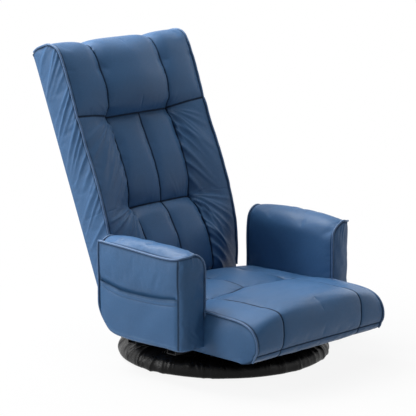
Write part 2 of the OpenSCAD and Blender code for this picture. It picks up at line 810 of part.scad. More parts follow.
module hinge_back_plate(side) {
    color("#55585b") on_side(side) on_back() difference() {
        plate_x(back_plate_x, hinge_t) {
            circle(d = back_eye_d);
            translate([-back_plate_w / 2, 0]) square([back_plate_w, back_plate_len]);
        }
        rod_x(0, arms_w, hinge_pin_d + 2 * run_gap);
    }
}

module ratchet_wheel(side) {
    pitch = 360 / teeth;
    color("#7d8083") on_side(side) translate([0, hinge_y, hinge_h]) difference() {
        plate_x(wheel_x, wheel_t) polygon([for (i = [0 : teeth - 1])
            each [rotated([wheel_d / 2 - tooth_depth, 0], valley_angle + i * pitch),
                  rotated([wheel_d / 2, 0], valley_angle + (i + 0.5) * pitch)]]);
        rod_x(0, arms_w, hinge_pin_d + 2 * run_gap);
    }
}

module pawl(side) {
    color("#8f9295") on_side(side) difference() {
        plate_x(wheel_x, wheel_t) at_pawl() {
            circle(d = pawl_boss_d);
            polygon([
                [0, -pawl_boss_d * pawl_heel_share], [pawl_len - nose_len, nose_len * pawl_flank_share],
                [pawl_len - nose_half, nose_len], [pawl_len, 0], [pawl_len + nose_half, nose_len],
                [pawl_len + nose_len, nose_len], [pawl_len + nose_len, nose_len + pawl_bar],
                [0, pawl_boss_d / 2]
            ]);
        }
        translate([0, pawl_yz[0], pawl_yz[1]]) rod_x(0, arms_w, pawl_pin_d + 2 * run_gap);
    }
}

// A leaf fixed to the seat's plate that lies along the pawl's outer edge
module pawl_spring(side) {
    start = pawl_boss_d / 2 + soft_gap;
    rise = nose_len + pawl_bar + soft_gap - start;
    color("#b9bbbd") on_side(side) plate_x(wheel_x + wheel_t / 2, seat_plate_x - wheel_x - wheel_t / 2)
        at_pawl() polygon([
            [0, start], [leaf_len, start + rise * leaf_len / pawl_len],
            [leaf_len, start + rise * leaf_len / pawl_len + leaf_t], [0, start + leaf_t]
        ]);
}

module back_side_tube(side) {
    color("#2b2c2e") on_side(side) on_back() translate([back_tube_x, 0, 0])
        tube(back_tube_start, back_tube_end + tube_d / 2);
}

module back_cross_tube(at) {
    half = back_tube_x - tube_d / 2;
    color("#2b2c2e") on_back() translate([0, 0, at]) rotate([0, 90, 0]) tube(-half, half);
}

module back_webbing() {
    color("#4a4038") on_back() for (i = [0 : strap_count - 1])
        translate([(i - (strap_count - 1) / 2) * back_tube_pitch, 0, 0]) strap(lower_bar_at, back_tube_end);
}

// Depth of the back in front of its frame, at a place across and up it
function back_y(x, share) =
    let (
        side = lookup(share, back_side_shares),
        middle = lookup(share, back_middle_shares),
        past = max(0, (abs(x) - back_seam_x) / (back_w / 2 - back_seam_x)),
        blend = pow(past, back_side_power_share),
        low = share < back_tuft_shares[1] ? 1 : 0,
        tuft = max([for (t = back_tuft_shares) groove((share - t) * back_len, 2 * back_seam_depth)])
    )
    back_depth * (middle + (side - middle) * blend)
        - back_seam_depth * groove(abs(x) - back_seam_x, 2 * back_seam_depth)
        - low * back_seam_depth * groove(x, 2 * back_seam_depth)
        - (1 - past) * back_seam_depth * tuft;

function back_ring(share) =
    let (
        x = share * back_w / 2,
        e = drawn_in(back_w / 2 - abs(x), back_edge_round),
        last = back_front_shares[len(back_front_shares) - 1],
        high = last * back_len,
        front = back_y(x, last) - e,
        rise = back_top_rise * (1 + back_crown_share * (1 - pow(abs(share), 3))) - e,
        half = (front + back_rear - e) / 2
    )
    concat(
        [for (s = back_front_shares) [x, -back_y(x, s) + e, max(s * back_len, back_foot + e)]],
        [for (a = back_top_angles)
            [x, -front + half * (1 - cos(a)), high + rise * power(sin(a), nose_power_share)]],
        [[x, back_rear - e, high], [x, back_rear - e, back_len / 2],
         [x, back_rear - e, back_foot + e]]
    );

module back_cushion() {
    color("#4f7199") on_back() difference() {
        skin([for (i = [len(back_ring_shares) - 1 : -1 : 0]) back_ring(back_ring_shares[i])]);
        translate([-recess_side, -frame_recess, 0])
            cube([2 * recess_side, frame_recess + back_rear + over, recess_top]);
    }
}

// The rear cover, a little smaller than the cushion all round
module back_rear_panel() {
    side = back_w / 2 - back_edge_round;
    color("#4f7199") on_back() translate([-side, back_rear + soft_gap, back_foot])
        cube([2 * side, panel_t, recess_top + back_edge_round - back_foot]);
}

floor_felt();
base_board();
base_padding();
base_cover();
pedestal();
pedestal_screws();
lower_race_plate();
race_plate_screws();
swivel_pin();
ball_cage();
bearing_balls();
upper_race_plate();
seat_bar(-bar_y);  // seat_bar_front
seat_bar(bar_y);  // seat_bar_rear
bar_bolts();
seat_side_tube(-1);  // seat_tube_left
seat_side_tube(1);  // seat_tube_right
seat_cross_tube(-front_tube_y);  // seat_tube_front
seat_cross_tube(rear_tube_y);  // seat_tube_rear
seat_webbing();
underside_cloth();
seat_cushion();
arm_upright(-1);  // arm_upright_left
arm_upright(1);  // arm_upright_right
arm_board(-1);  // arm_board_left
arm_board(1);  // arm_board_right
arm_pad(-1);  // arm_pad_left
arm_pad(1);  // arm_pad_right
arm_pocket(-1);  // arm_pocket_left
arm_pocket(1);  // arm_pocket_right
arm_bolts();
hinge_seat_plate(-1);  // hinge_seat_plate_left
hinge_seat_plate(1);  // hinge_seat_plate_right
hinge_pin(-1);  // hinge_pin_left
hinge_pin(1);  // hinge_pin_right
pawl_spring(-1);  // pawl_spring_left
pawl_spring(1);  // pawl_spring_right
pawl(-1);  // pawl_left
pawl(1);  // pawl_right
hinge_back_plate(-1);  // hinge_back_plate_left
hinge_back_plate(1);  // hinge_back_plate_right
ratchet_wheel(-1);  // ratchet_wheel_left
ratchet_wheel(1);  // ratchet_wheel_right
back_side_tube(-1);  // back_tube_left
back_side_tube(1);  // back_tube_right
back_cross_tube(back_tube_end);  // back_tube_top
back_cross_tube(lower_bar_at);  // back_bar_lower
back_webbing();
back_cushion();
back_rear_panel();
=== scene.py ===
"""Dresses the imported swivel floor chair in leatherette, cloth, steel and wood."""
import json
import logging
import math
from collections.abc import Callable, Sequence
from dataclasses import dataclass, field
from enum import Enum

import bmesh
import bpy
import numpy as np
from mathutils import Matrix, Vector
from mathutils.kdtree import KDTree


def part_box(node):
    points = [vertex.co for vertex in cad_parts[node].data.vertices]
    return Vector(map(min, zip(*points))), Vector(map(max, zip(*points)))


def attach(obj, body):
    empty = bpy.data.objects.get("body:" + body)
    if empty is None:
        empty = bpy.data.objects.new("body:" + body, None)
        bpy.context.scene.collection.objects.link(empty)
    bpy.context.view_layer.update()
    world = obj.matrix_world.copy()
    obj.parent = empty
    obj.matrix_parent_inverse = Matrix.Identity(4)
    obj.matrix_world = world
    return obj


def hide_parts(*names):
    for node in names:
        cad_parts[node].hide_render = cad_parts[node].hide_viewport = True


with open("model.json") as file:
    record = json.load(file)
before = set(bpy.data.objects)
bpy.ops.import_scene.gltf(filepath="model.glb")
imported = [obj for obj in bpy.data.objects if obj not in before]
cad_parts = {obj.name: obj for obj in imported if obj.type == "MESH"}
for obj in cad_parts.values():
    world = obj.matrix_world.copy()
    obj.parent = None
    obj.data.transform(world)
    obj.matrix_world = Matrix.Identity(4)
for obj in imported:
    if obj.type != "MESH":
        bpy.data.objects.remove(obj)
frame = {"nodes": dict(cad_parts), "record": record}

LOG = logging.getLogger("floor_chair")
Points = np.ndarray
Pairs = Sequence[tuple[float, float]]
Colour = tuple[float, float, float, float]
Span = int | slice
Piece = bpy.types.Object
Material = bpy.types.Material
Tree = bpy.types.NodeTree
Node = bpy.types.Node
Socket = bpy.types.NodeSocket
ALL = slice(None)
WHITE = (1.0, 1.0, 1.0, 1.0)
STEP = 0.0062
PIPING_RADIUS = 0.0027
THREAD_LIFT = 0.0003


class Side(Enum):
    """The two sides of the chair, as seen from the front."""

    LEFT = -1
    RIGHT = 1

    @property
    def word(self) -> str:
        """The side's name in the CAD nodes."""
        return self.name.lower()


# ---------------------------------------------------------------- curves and fields


def smooth(at: Points, table: Pairs) -> Points:
    """Reads a table of pairs as one smooth curve.

    Args:
        at: Places to read at.
        table: Places and values, in rising order of place.

    Returns:
        The curve's values at those places.
    """
    xs, ys = np.array(table, float).T
    slopes = np.gradient(ys, xs)
    at = np.clip(at, xs[0], xs[-1])
    i = np.clip(np.searchsorted(xs, at) - 1, 0, len(xs) - 2)
    h = xs[i + 1] - xs[i]
    t = (at - xs[i]) / h
    return ((2 * t**3 - 3 * t**2 + 1) * ys[i] + (t**3 - 2 * t**2 + t) * h * slopes[i]
            + (3 * t**2 - 2 * t**3) * ys[i + 1] + (t**3 - t**2) * h * slopes[i + 1])


def stations(at: Points, rows: Sequence[tuple[float, float]]) -> Points:
    """Reads a row of (y, z) stations as a smooth path.

    Args:
        at: Station numbers, whole or between.
        rows: The stations.

    Returns:
        Points of (y, z).
    """
    number = np.arange(len(rows), dtype=float)
    return np.stack([smooth(at, list(zip(number, column))) for column in zip(*rows)], axis=-1)


def graded(low: float, high: float, step: float, lines: Sequence[float] = (),
           near: Sequence[float] = (0.001, 0.0026, 0.0052, 0.009)) -> Points:
    """Spreads places between two limits, closer together beside sewn lines.

    Args:
        low: Lowest place.
        high: Highest place.
        step: Usual distance between places.
        lines: Places of the sewn lines.
        near: Distances from each line that get a place too.

    Returns:
        The places in rising order.
    """
    marks = [low, high]
    for line in lines:
        marks += [line] + [line + s * d for d in near for s in (-1, 1)]
    marks = sorted(m for m in set(marks) if low <= m <= high)
    places = [marks[0]]
    for a, b in zip(marks, marks[1:]):
        count = max(1, round((b - a) / step))
        places += list(np.linspace(a, b, count + 1)[1:])
    return np.array(places)


def wobble(p: Points, length: float, seed: int, waves: int = 7) -> Points:
    """Makes smooth noise between about -1 and 1.

    Args:
        p: Points, with their coordinates on the last axis.
        length: Usual distance between the noise's hills.
        seed: Fixed seed.
        waves: Number of waves that are added.

    Returns:
        One value for each point.
    """
    rng = np.random.default_rng(seed)
    total = np.zeros(p.shape[:-1])
    for _ in range(waves):
        way = rng.normal(size=p.shape[-1])
        way *= 2 * math.pi / (length * rng.uniform(0.8, 2.4) * np.linalg.norm(way))
        total += np.sin(p @ way + rng.uniform(0, 2 * math.pi))
    return total / math.sqrt(waves)


@dataclass(frozen=True)
class Fan:
    """Gathers that spread from a tuft over the panel beside it."""

    across: float
    up: float
    first: float
    last: float
    count: int
    reach: float
    height: float
    seed: int

    def lift(self, across: Points, up: Points) -> Points:
        """Finds how far the gathers raise a panel.

        Args:
            across: Distances across the panel.
            up: Distances up the panel.

        Returns:
            Heights in metres.
        """
        rng = np.random.default_rng(self.seed)
        dx, dz = across - self.across, up - self.up
        r = np.hypot(dx, dz)
        angle = np.degrees(np.arctan2(dz, dx))
        middle = (self.first + self.last) / 2
        angle = (angle - middle + 180) % 360 - 180 + middle
        gap = (self.last - self.first) / self.count
        total = np.zeros(np.shape(across))
        for k in range(self.count):
            at = self.first + (k + rng.uniform(0.25, 0.75)) * gap
            width = gap * rng.uniform(0.2, 0.34)
            reach = self.reach * rng.uniform(0.6, 1.15)
            bend = rng.uniform(-0.5, 0.5) * gap
            line = np.exp(-((angle - at - bend * r / self.reach) / width) ** 2)
            run = (1 - np.exp(-((r / 0.016) ** 2))) * np.exp(-((r / reach) ** 2))
            total += rng.uniform(0.55, 1) * line * run
        return self.height * total


@dataclass(frozen=True)
class Streaks:
    """Slanting folds that run in from a sewn edge."""

    first: float
    last: float
    gap: float
    slant: float
    length: float
    height: float
    seed: int

    def lift(self, inwards: Points, along: Points) -> Points:
        """Finds how far the folds raise a panel.

        Args:
            inwards: Distances from the sewn edge.
            along: Distances along the sewn edge.

        Returns:
            Heights in metres.
        """
        rng = np.random.default_rng(self.seed)
        total = np.zeros(np.shape(inwards))
        at = self.first
        while at < self.last:
            at += self.gap * rng.uniform(0.5, 1.5)
            slant = self.slant * rng.uniform(0.75, 1.25)
            width = self.gap * rng.uniform(0.16, 0.34)
            length = self.length * rng.uniform(0.45, 1.15)
            start = rng.uniform(-0.2, 0.35) * length
            line = np.exp(-((along - at - slant * inwards - 0.1 * inwards**2 / length) / width) ** 2)
            run = np.exp(-(((inwards - start) / length) ** 2) * 2)
            total += rng.uniform(0.4, 1) * line * run
        return self.height * total


def nearest(values: Points, at: float) -> int:
    """Finds which of the values lies nearest to a place."""
    return int(np.argmin(np.abs(values - at)))


@dataclass(frozen=True)
class Seam:
    """The ground beside a sewn line: a narrow crease in a slow fall of the padding."""

    depth: float
    width: float
    pillow: float = 0.0
    spread: float = 0.02

    def sink(self, distance: Points) -> Points:
        """Finds how deep the ground lies.

        Args:
            distance: Distances from the line.

        Returns:
            Depths in metres.
        """
        away = np.abs(distance)
        return self.depth * np.exp(-((away / self.width) ** 1.3)) + self.pillow * np.exp(-away / self.spread)


def ruled(first: Points, second: Points, share: Points) -> Points:
    """Spans a grid between two lines.

    Args:
        first: The line at share 0.
        second: The line at share 1.
        share: Where each column lies between them.

    Returns:
        Points, with a row for each point of the lines.
    """
    return first[:, None] + (second - first)[:, None] * share[None, :, None]


# ---------------------------------------------------------------- meshes


class Shell:
    """Grids of points that share their edges and close into one skin."""

    def __init__(self) -> None:
        """Starts with no grids."""
        self._grids: dict[str, Points] = {}
        self._turned: set[str] = set()
        self.index: dict[str, Points] = {}
        self.piece: Piece | None = None

    def add(self, name: str, grid: Points, turned: bool = False) -> None:
        """Adds a grid.

        Args:
            name: Name to read it by later.
            grid: Points in rows and columns.
            turned: True to face the other way.
        """
        self._grids[name] = grid
        if turned:
            self._turned.add(name)

    def build(self, name: str) -> Piece:
        """Joins the grids and makes the piece.

        Args:
            name: The piece's name.

        Returns:
            The new object.
        """
        stacked = np.concatenate([g.reshape(-1, 3) for g in self._grids.values()])
        _, first, inverse = np.unique(np.round(stacked, 6), axis=0, return_index=True, return_inverse=True)
        verts = stacked[first]
        inverse = inverse.reshape(-1)
        faces: list[list[int]] = []
        start = 0
        for key, grid in self._grids.items():
            rows, columns = grid.shape[:2]
            ids = inverse[start:start + rows * columns].reshape(rows, columns)
            start += rows * columns
            self.index[key] = ids
            corners = np.stack([ids[:-1, :-1], ids[1:, :-1], ids[1:, 1:], ids[:-1, 1:]], axis=-1)
            if key in self._turned:
                corners = corners[..., ::-1]
            for corner in corners.reshape(-1, 4).tolist():
                ring = list(dict.fromkeys(corner))
                if len(ring) > 2:
                    faces.append(ring)
        mesh = bpy.data.meshes.new(name)
        mesh.from_pydata(verts.tolist(), [], faces)
        mesh.validate()
        self.piece = new_piece(name, mesh)
        facing_out(self.piece)
        return self.piece

    def close(self, outer: Points, inner: Points, tag: str = "", ends: bool = True) -> None:
        """Adds an outer and an inner face, with the rims between them.

        Args:
            outer: The outer face's grid.
            inner: The inner face's grid.
            tag: End of the grids' names.
            ends: False where the columns run round and meet.
        """
        self.add("outer" + tag, outer)
        self.add("inner" + tag, inner, turned=True)
        self.add("low" + tag, np.stack([inner[0], outer[0]]))
        self.add("high" + tag, np.stack([outer[-1], inner[-1]]))
        if ends:
            self.add("first" + tag, np.stack([inner[:, 0], outer[:, 0]], axis=1))
            self.add("last" + tag, np.stack([outer[:, -1], inner[:, -1]], axis=1))

    def line(self, key: str, row: Span = ALL, column: Span = ALL, lift: float = 0.0) -> Points:
        """Reads where a line of a grid now is.

        Args:
            key: The grid's name.
            row: A row number, or all rows.
            column: A column number, or all columns.
            lift: How far the line is pushed out from the skin.

        Returns:
            Points along the line.
        """
        at = self.index[key][row, column]
        places = places_of(self.piece)[at]
        return places + normals_of(self.piece)[at] * lift if lift else places


def new_piece(name: str, mesh: bpy.types.Mesh) -> Piece:
    """Puts a mesh in the scene with smooth faces."""
    piece = bpy.data.objects.new(name, mesh)
    bpy.context.scene.collection.objects.link(piece)
    mesh.shade_smooth()
    return piece


def places_of(piece: Piece) -> Points:
    """Reads a piece's points."""
    flat = np.empty(len(piece.data.vertices) * 3)
    piece.data.vertices.foreach_get("co", flat)
    return flat.reshape(-1, 3)


def normals_of(piece: Piece) -> Points:
    """Reads the normals at a piece's points."""
    flat = np.empty(len(piece.data.vertices) * 3)
    piece.data.vertices.foreach_get("normal", flat)
    return flat.reshape(-1, 3)


def move_to(piece: Piece, places: Points) -> None:
    """Writes a piece's points."""
    piece.data.vertices.foreach_set("co", places.reshape(-1))
    piece.data.update()


def settled(piece: Piece) -> None:
    """Turns a piece and its modifiers into one plain mesh."""
    seen = piece.evaluated_get(bpy.context.evaluated_depsgraph_get())
    mesh = bpy.data.meshes.new_from_object(seen)
    piece.modifiers.clear()
    piece.data = mesh


def subdivided(piece: Piece) -> None:
    """Rounds a piece with one level of subdivision, which keeps the first points' order."""
    finer = piece.modifiers.new("finer", "SUBSURF")
    finer.levels = finer.render_levels = 1
    settled(piece)
    piece.data.shade_smooth()


def mark(piece: Piece, name: str, values: Points) -> None:
    """Stores one value for each point, for the piece's material."""
    layer = piece.data.attributes.new(name, "FLOAT", "POINT")
    layer.data.foreach_set("value", np.ascontiguousarray(values, dtype=np.float32))


def lean(places: Points, back: bool = True) -> Points:
    """Takes points from the back's own frame to the chair's.

    Args:
        places: Points measured from the recline axis, with z up the back.
        back: False leaves the points as they are.

    Returns:
        Points in the chair's frame.
    """
    if not back:
        return places
    tilt = math.radians(22.3)
    c, s = math.cos(tilt), math.sin(tilt)
    x, y, z = places[..., 0], places[..., 1], places[..., 2]
    return np.stack([x, 0.190 + y * c + z * s, 0.104 - y * s + z * c], axis=-1)


def slab(name: str, grid: Points, thick: float, tuck: float = 0.0) -> tuple[Piece, Shell]:
    """Makes a thin closed sheet on one side of a grid.

    Args:
        name: The piece's name.
        grid: The sheet's outer face.
        thick: Its thickness, inwards.
        tuck: Share of the last row's height by which the inner face stays lower than the outer one.

    Returns:
        The piece and its shell.
    """
    du, dv = np.gradient(grid, axis=1), np.gradient(grid, axis=0)
    out = np.cross(dv, du)
    out /= np.linalg.norm(out, axis=-1, keepdims=True) + 1e-12
    inner = grid - out * thick
    inner[-1] += (inner[-2] - inner[-1]) * tuck
    shell = Shell()
    shell.close(grid, inner)
    return shell.build(name), shell


def eased(path: Points, rounds: int = 4) -> Points:
    """Takes the small kinks out of a path and keeps its ends."""
    path = path.copy()
    for _ in range(rounds):
        path[1:-1] = (path[:-2] + 2 * path[1:-1] + path[2:]) / 4
    return path


@dataclass(frozen=True)
class Stuffing:
    """How a skin is filled in the cloth simulation: its push, the cloth's slack and the most it may move."""

    pressure: float
    slack: float
    cap: float
    frames: int = 20

    def swell(self, piece: Piece, held: Points) -> None:
        """Fills a skin between its sewn lines and keeps the result.

        Args:
            piece: The closed skin.
            held: Share to which each point stays where it is, from 0 to 1.
        """
        before = places_of(piece)
        group = piece.vertex_groups.new(name="held")
        for weight in np.unique(np.round(held, 2)):
            if weight > 0:
                group.add(np.flatnonzero(np.round(held, 2) == weight).tolist(), float(weight), "REPLACE")
        cloth = piece.modifiers.new("cloth", "CLOTH")
        s = cloth.settings
        s.quality = 5
        s.mass = 0.3
        s.tension_stiffness = s.compression_stiffness = 18
        s.shear_stiffness = 8
        s.bending_stiffness = 0.6
        s.use_pressure = True
        s.uniform_pressure_force = self.pressure
        s.shrink_min = -self.slack
        s.vertex_group_mass = "held"
        s.effector_weights.gravity = 0
        cloth.collision_settings.use_collision = False
        cloth.point_cache.frame_start = 1
        cloth.point_cache.frame_end = self.frames
        scene = bpy.context.scene
        for number in range(1, self.frames + 1):
            scene.frame_set(number)
        seen = piece.evaluated_get(bpy.context.evaluated_depsgraph_get())
        after = places_of(seen)
        piece.modifiers.clear()
        piece.vertex_groups.clear()
        scene.frame_set(1)
        step = after - before
        size = np.linalg.norm(step, axis=1, keepdims=True)
        if not np.isfinite(size).all():
            LOG.warning("%s: the cloth did not settle and stays as it was", piece.name)
            return
        kept = self.cap * np.tanh(size / self.cap) / np.maximum(size, 1e-9)
        move_to(piece, before + step * kept)
        LOG.info("%s: swelled by up to %.1f mm", piece.name, 1000 * float((size * kept).max()))


def upholstered(piece: Piece, held: Points, stuffing: Stuffing,
                wrinkles: Callable[[Points, Points], Points]) -> None:
    """Fills a cushion's skin, rounds it and adds its wrinkles.

    Args:
        piece: The closed skin.
        held: Share to which each point stays where it is, from 0 to 1.
        stuffing: How the skin is filled.
        wrinkles: Gives heights for points and their normals.
    """
    stuffing.swell(piece, held)
    subdivided(piece)
    places, normals = places_of(piece), normals_of(piece)
    move_to(piece, places + normals * wrinkles(places, normals)[:, None])


# ---------------------------------------------------------------- geometry node trees


class TreeMaker:
    """Adds and links nodes in one tree."""

    def __init__(self, tree: Tree) -> None:
        """Takes the tree to fill."""
        self.tree = tree

    def add(self, kind: str, inputs: dict | None = None, **settings: object) -> Node:
        """Adds a node.

        Args:
            kind: Its type name.
            inputs: Values or sockets for its inputs, by name or number.
            **settings: Its own properties.

        Returns:
            The node.
        """
        node = self.tree.nodes.new(kind)
        for key, value in settings.items():
            setattr(node, key, value)
        for key, value in (inputs or {}).items():
            if isinstance(value, Socket):
                self.tree.links.new(value, node.inputs[key])
            else:
                node.inputs[key].default_value = value
        return node

    def math(self, operation: str, *values: object) -> Socket:
        """Adds a Math node and gives its result."""
        return self.add("ShaderNodeMath", dict(enumerate(values)), operation=operation).outputs[0]

    def noise(self, where: Socket, scale: object, detail: float, **more: float) -> Node:
        """Adds a noise texture."""
        return self.add("ShaderNodeTexNoise", {"Vector": where, "Scale": scale, "Detail": detail, **more})

    def mix(self, share: object, first: object, second: object, blend: str = "MIX") -> Socket:
        """Adds a colour mix and gives its result."""
        node = self.add("ShaderNodeMix", {0: share, 6: first, 7: second}, data_type="RGBA", blend_type=blend)
        return node.outputs[2]

    def span(self, value: object, low: float, high: float, to_low: object = 0.0,
             to_high: float = 1.0) -> Socket:
        """Maps a value from one span to another, held at its ends."""
        node = self.add("ShaderNodeMapRange", {0: value, 1: low, 2: high, 3: to_low, 4: to_high})
        return node.outputs[0]


class PathDresser:
    """Lays cords and stitches along paths with geometry nodes."""

    pitch: float = 0.0042

    def __init__(self) -> None:
        """Builds the two trees."""
        self._cord = self._cord_tree()
        self._stitch = self._stitch_tree()

    @staticmethod
    def _new_tree(name: str, sizes: dict[str, float]) -> tuple[TreeMaker, Node]:
        """Starts a tree with geometry, sizes and a material as inputs."""
        tree = bpy.data.node_groups.new(name, "GeometryNodeTree")
        tree.is_modifier = True
        tree.interface.new_socket("Geometry", in_out="OUTPUT", socket_type="NodeSocketGeometry")
        tree.interface.new_socket("Geometry", in_out="INPUT", socket_type="NodeSocketGeometry")
        for label, value in sizes.items():
            socket = tree.interface.new_socket(label, in_out="INPUT", socket_type="NodeSocketFloat")
            socket.default_value = value
        tree.interface.new_socket("Finish", in_out="INPUT", socket_type="NodeSocketMaterial")
        maker = TreeMaker(tree)
        return maker, maker.add("NodeGroupInput")

    @staticmethod
    def _end(maker: TreeMaker, geometry: Socket, finish: Socket) -> None:
        """Ends a tree in plain, smooth, dressed faces."""
        real = maker.add("GeometryNodeRealizeInstances", {"Geometry": geometry})
        even = maker.add("GeometryNodeSetShadeSmooth", {"Geometry": real.outputs[0]})
        dressed = maker.add("GeometryNodeSetMaterial", {"Geometry": even.outputs[0], "Material": finish})
        maker.add("NodeGroupOutput", {0: dressed.outputs[0]})

    def _cord_tree(self) -> Tree:
        """Makes the tree for piping: a round cord along each path."""
        maker, given = self._new_tree("piping_cord", {"Radius": 0.0024, "Spacing": 0.004})
        curve = maker.add("GeometryNodeMeshToCurve", {"Mesh": given.outputs["Geometry"]})
        even = maker.add("GeometryNodeResampleCurve",
                         {"Curve": curve.outputs[0], "Length": given.outputs["Spacing"]}, mode="LENGTH")
        ring = maker.add("GeometryNodeCurvePrimitiveCircle",
                         {"Resolution": 10, "Radius": given.outputs["Radius"]})
        cord = maker.add("GeometryNodeCurveToMesh",
                         {"Curve": even.outputs[0], "Profile Curve": ring.outputs[0], "Fill Caps": True})
        self._end(maker, cord.outputs[0], given.outputs["Finish"])
        return maker.tree

    def _stitch_tree(self) -> Tree:
        """Makes the tree for a row of thread stitches along each path."""
        maker, given = self._new_tree("thread_stitches",
                                      {"Pitch": self.pitch, "Length": 0.003, "Thickness": 0.0007})
        curve = maker.add("GeometryNodeMeshToCurve", {"Mesh": given.outputs["Geometry"]})
        spots = maker.add("GeometryNodeCurveToPoints",
                          {"Curve": curve.outputs[0], "Length": given.outputs["Pitch"]}, mode="LENGTH")
        half = maker.math("MULTIPLY", given.outputs["Thickness"], 0.5)
        reach = maker.math("MULTIPLY", given.outputs["Length"], 0.5)
        size = maker.add("ShaderNodeCombineXYZ", {0: half, 1: half, 2: reach})
        bead = maker.add("GeometryNodeMeshUVSphere", {"Segments": 6, "Rings": 5, "Radius": 1.0})
        thread = maker.add("GeometryNodeTransform", {"Geometry": bead.outputs[0], "Scale": size.outputs[0]})
        placed = maker.add("GeometryNodeInstanceOnPoints",
                           {"Points": spots.outputs["Points"], "Instance": thread.outputs[0],
                            "Rotation": spots.outputs["Rotation"]})
        self._end(maker, placed.outputs[0], given.outputs["Finish"])
        return maker.tree

    def _lay(self, name: str, paths: Sequence[Points], tree: Tree, sizes: dict[str, float],
             finish: Material) -> Piece:
        """Runs a tree over paths and keeps a plain mesh."""
        verts = np.concatenate(list(paths))
        edges, start = [], 0
        for path in paths:
            edges += [(start + i, start + i + 1) for i in range(len(path) - 1)]
            start += len(path)
        mesh = bpy.data.meshes.new(name)
        mesh.from_pydata(verts.tolist(), edges, [])
        piece = new_piece(name, mesh)
        nodes = piece.modifiers.new("path", "NODES")
        nodes.node_group = tree
        sockets = {item.name: item.identifier for item in tree.interface.items_tree if item.in_out == "INPUT"}
        for label, value in sizes.items():
            nodes[sockets[label]] = value
        nodes[sockets["Finish"]] = finish
        settled(piece)
        facing_out(piece)
        return piece

    def piping(self, name: str, paths: Sequence[Points], radius: float,
               finish: Material) -> Piece:
        """Lays piping cord along paths.

        Args:
            name: The piece's name.
            paths: Lines of points.
            radius: Radius of the cord.
            finish: Its material.

        Returns:
            The piece.
        """
        return self._lay(name, paths, self._cord, {"Radius": radius, "Spacing": 0.004}, finish)

    def stitches(self, name: str, paths: Sequence[Points], finish: Material) -> Piece:
        """Sews rows of stitches along paths.

        Args:
            name: The piece's name.
            paths: Lines of points.
            finish: The thread's material.

        Returns:
            The piece.
        """
        given = {"Pitch": self.pitch, "Length": self.pitch * 0.72}
        return self._lay(name, paths, self._stitch, given, finish)


def facing_out(piece: Piece) -> None:
    """Turns a closed piece's faces outwards."""
    shape = bmesh.new()
    shape.from_mesh(piece.data)
    bmesh.ops.recalc_face_normals(shape, faces=shape.faces)
    if shape.calc_volume(signed=True) < 0:
        bmesh.ops.reverse_faces(shape, faces=shape.faces)
    shape.to_mesh(piece.data)
    shape.free()


# ---------------------------------------------------------------- shared shader groups


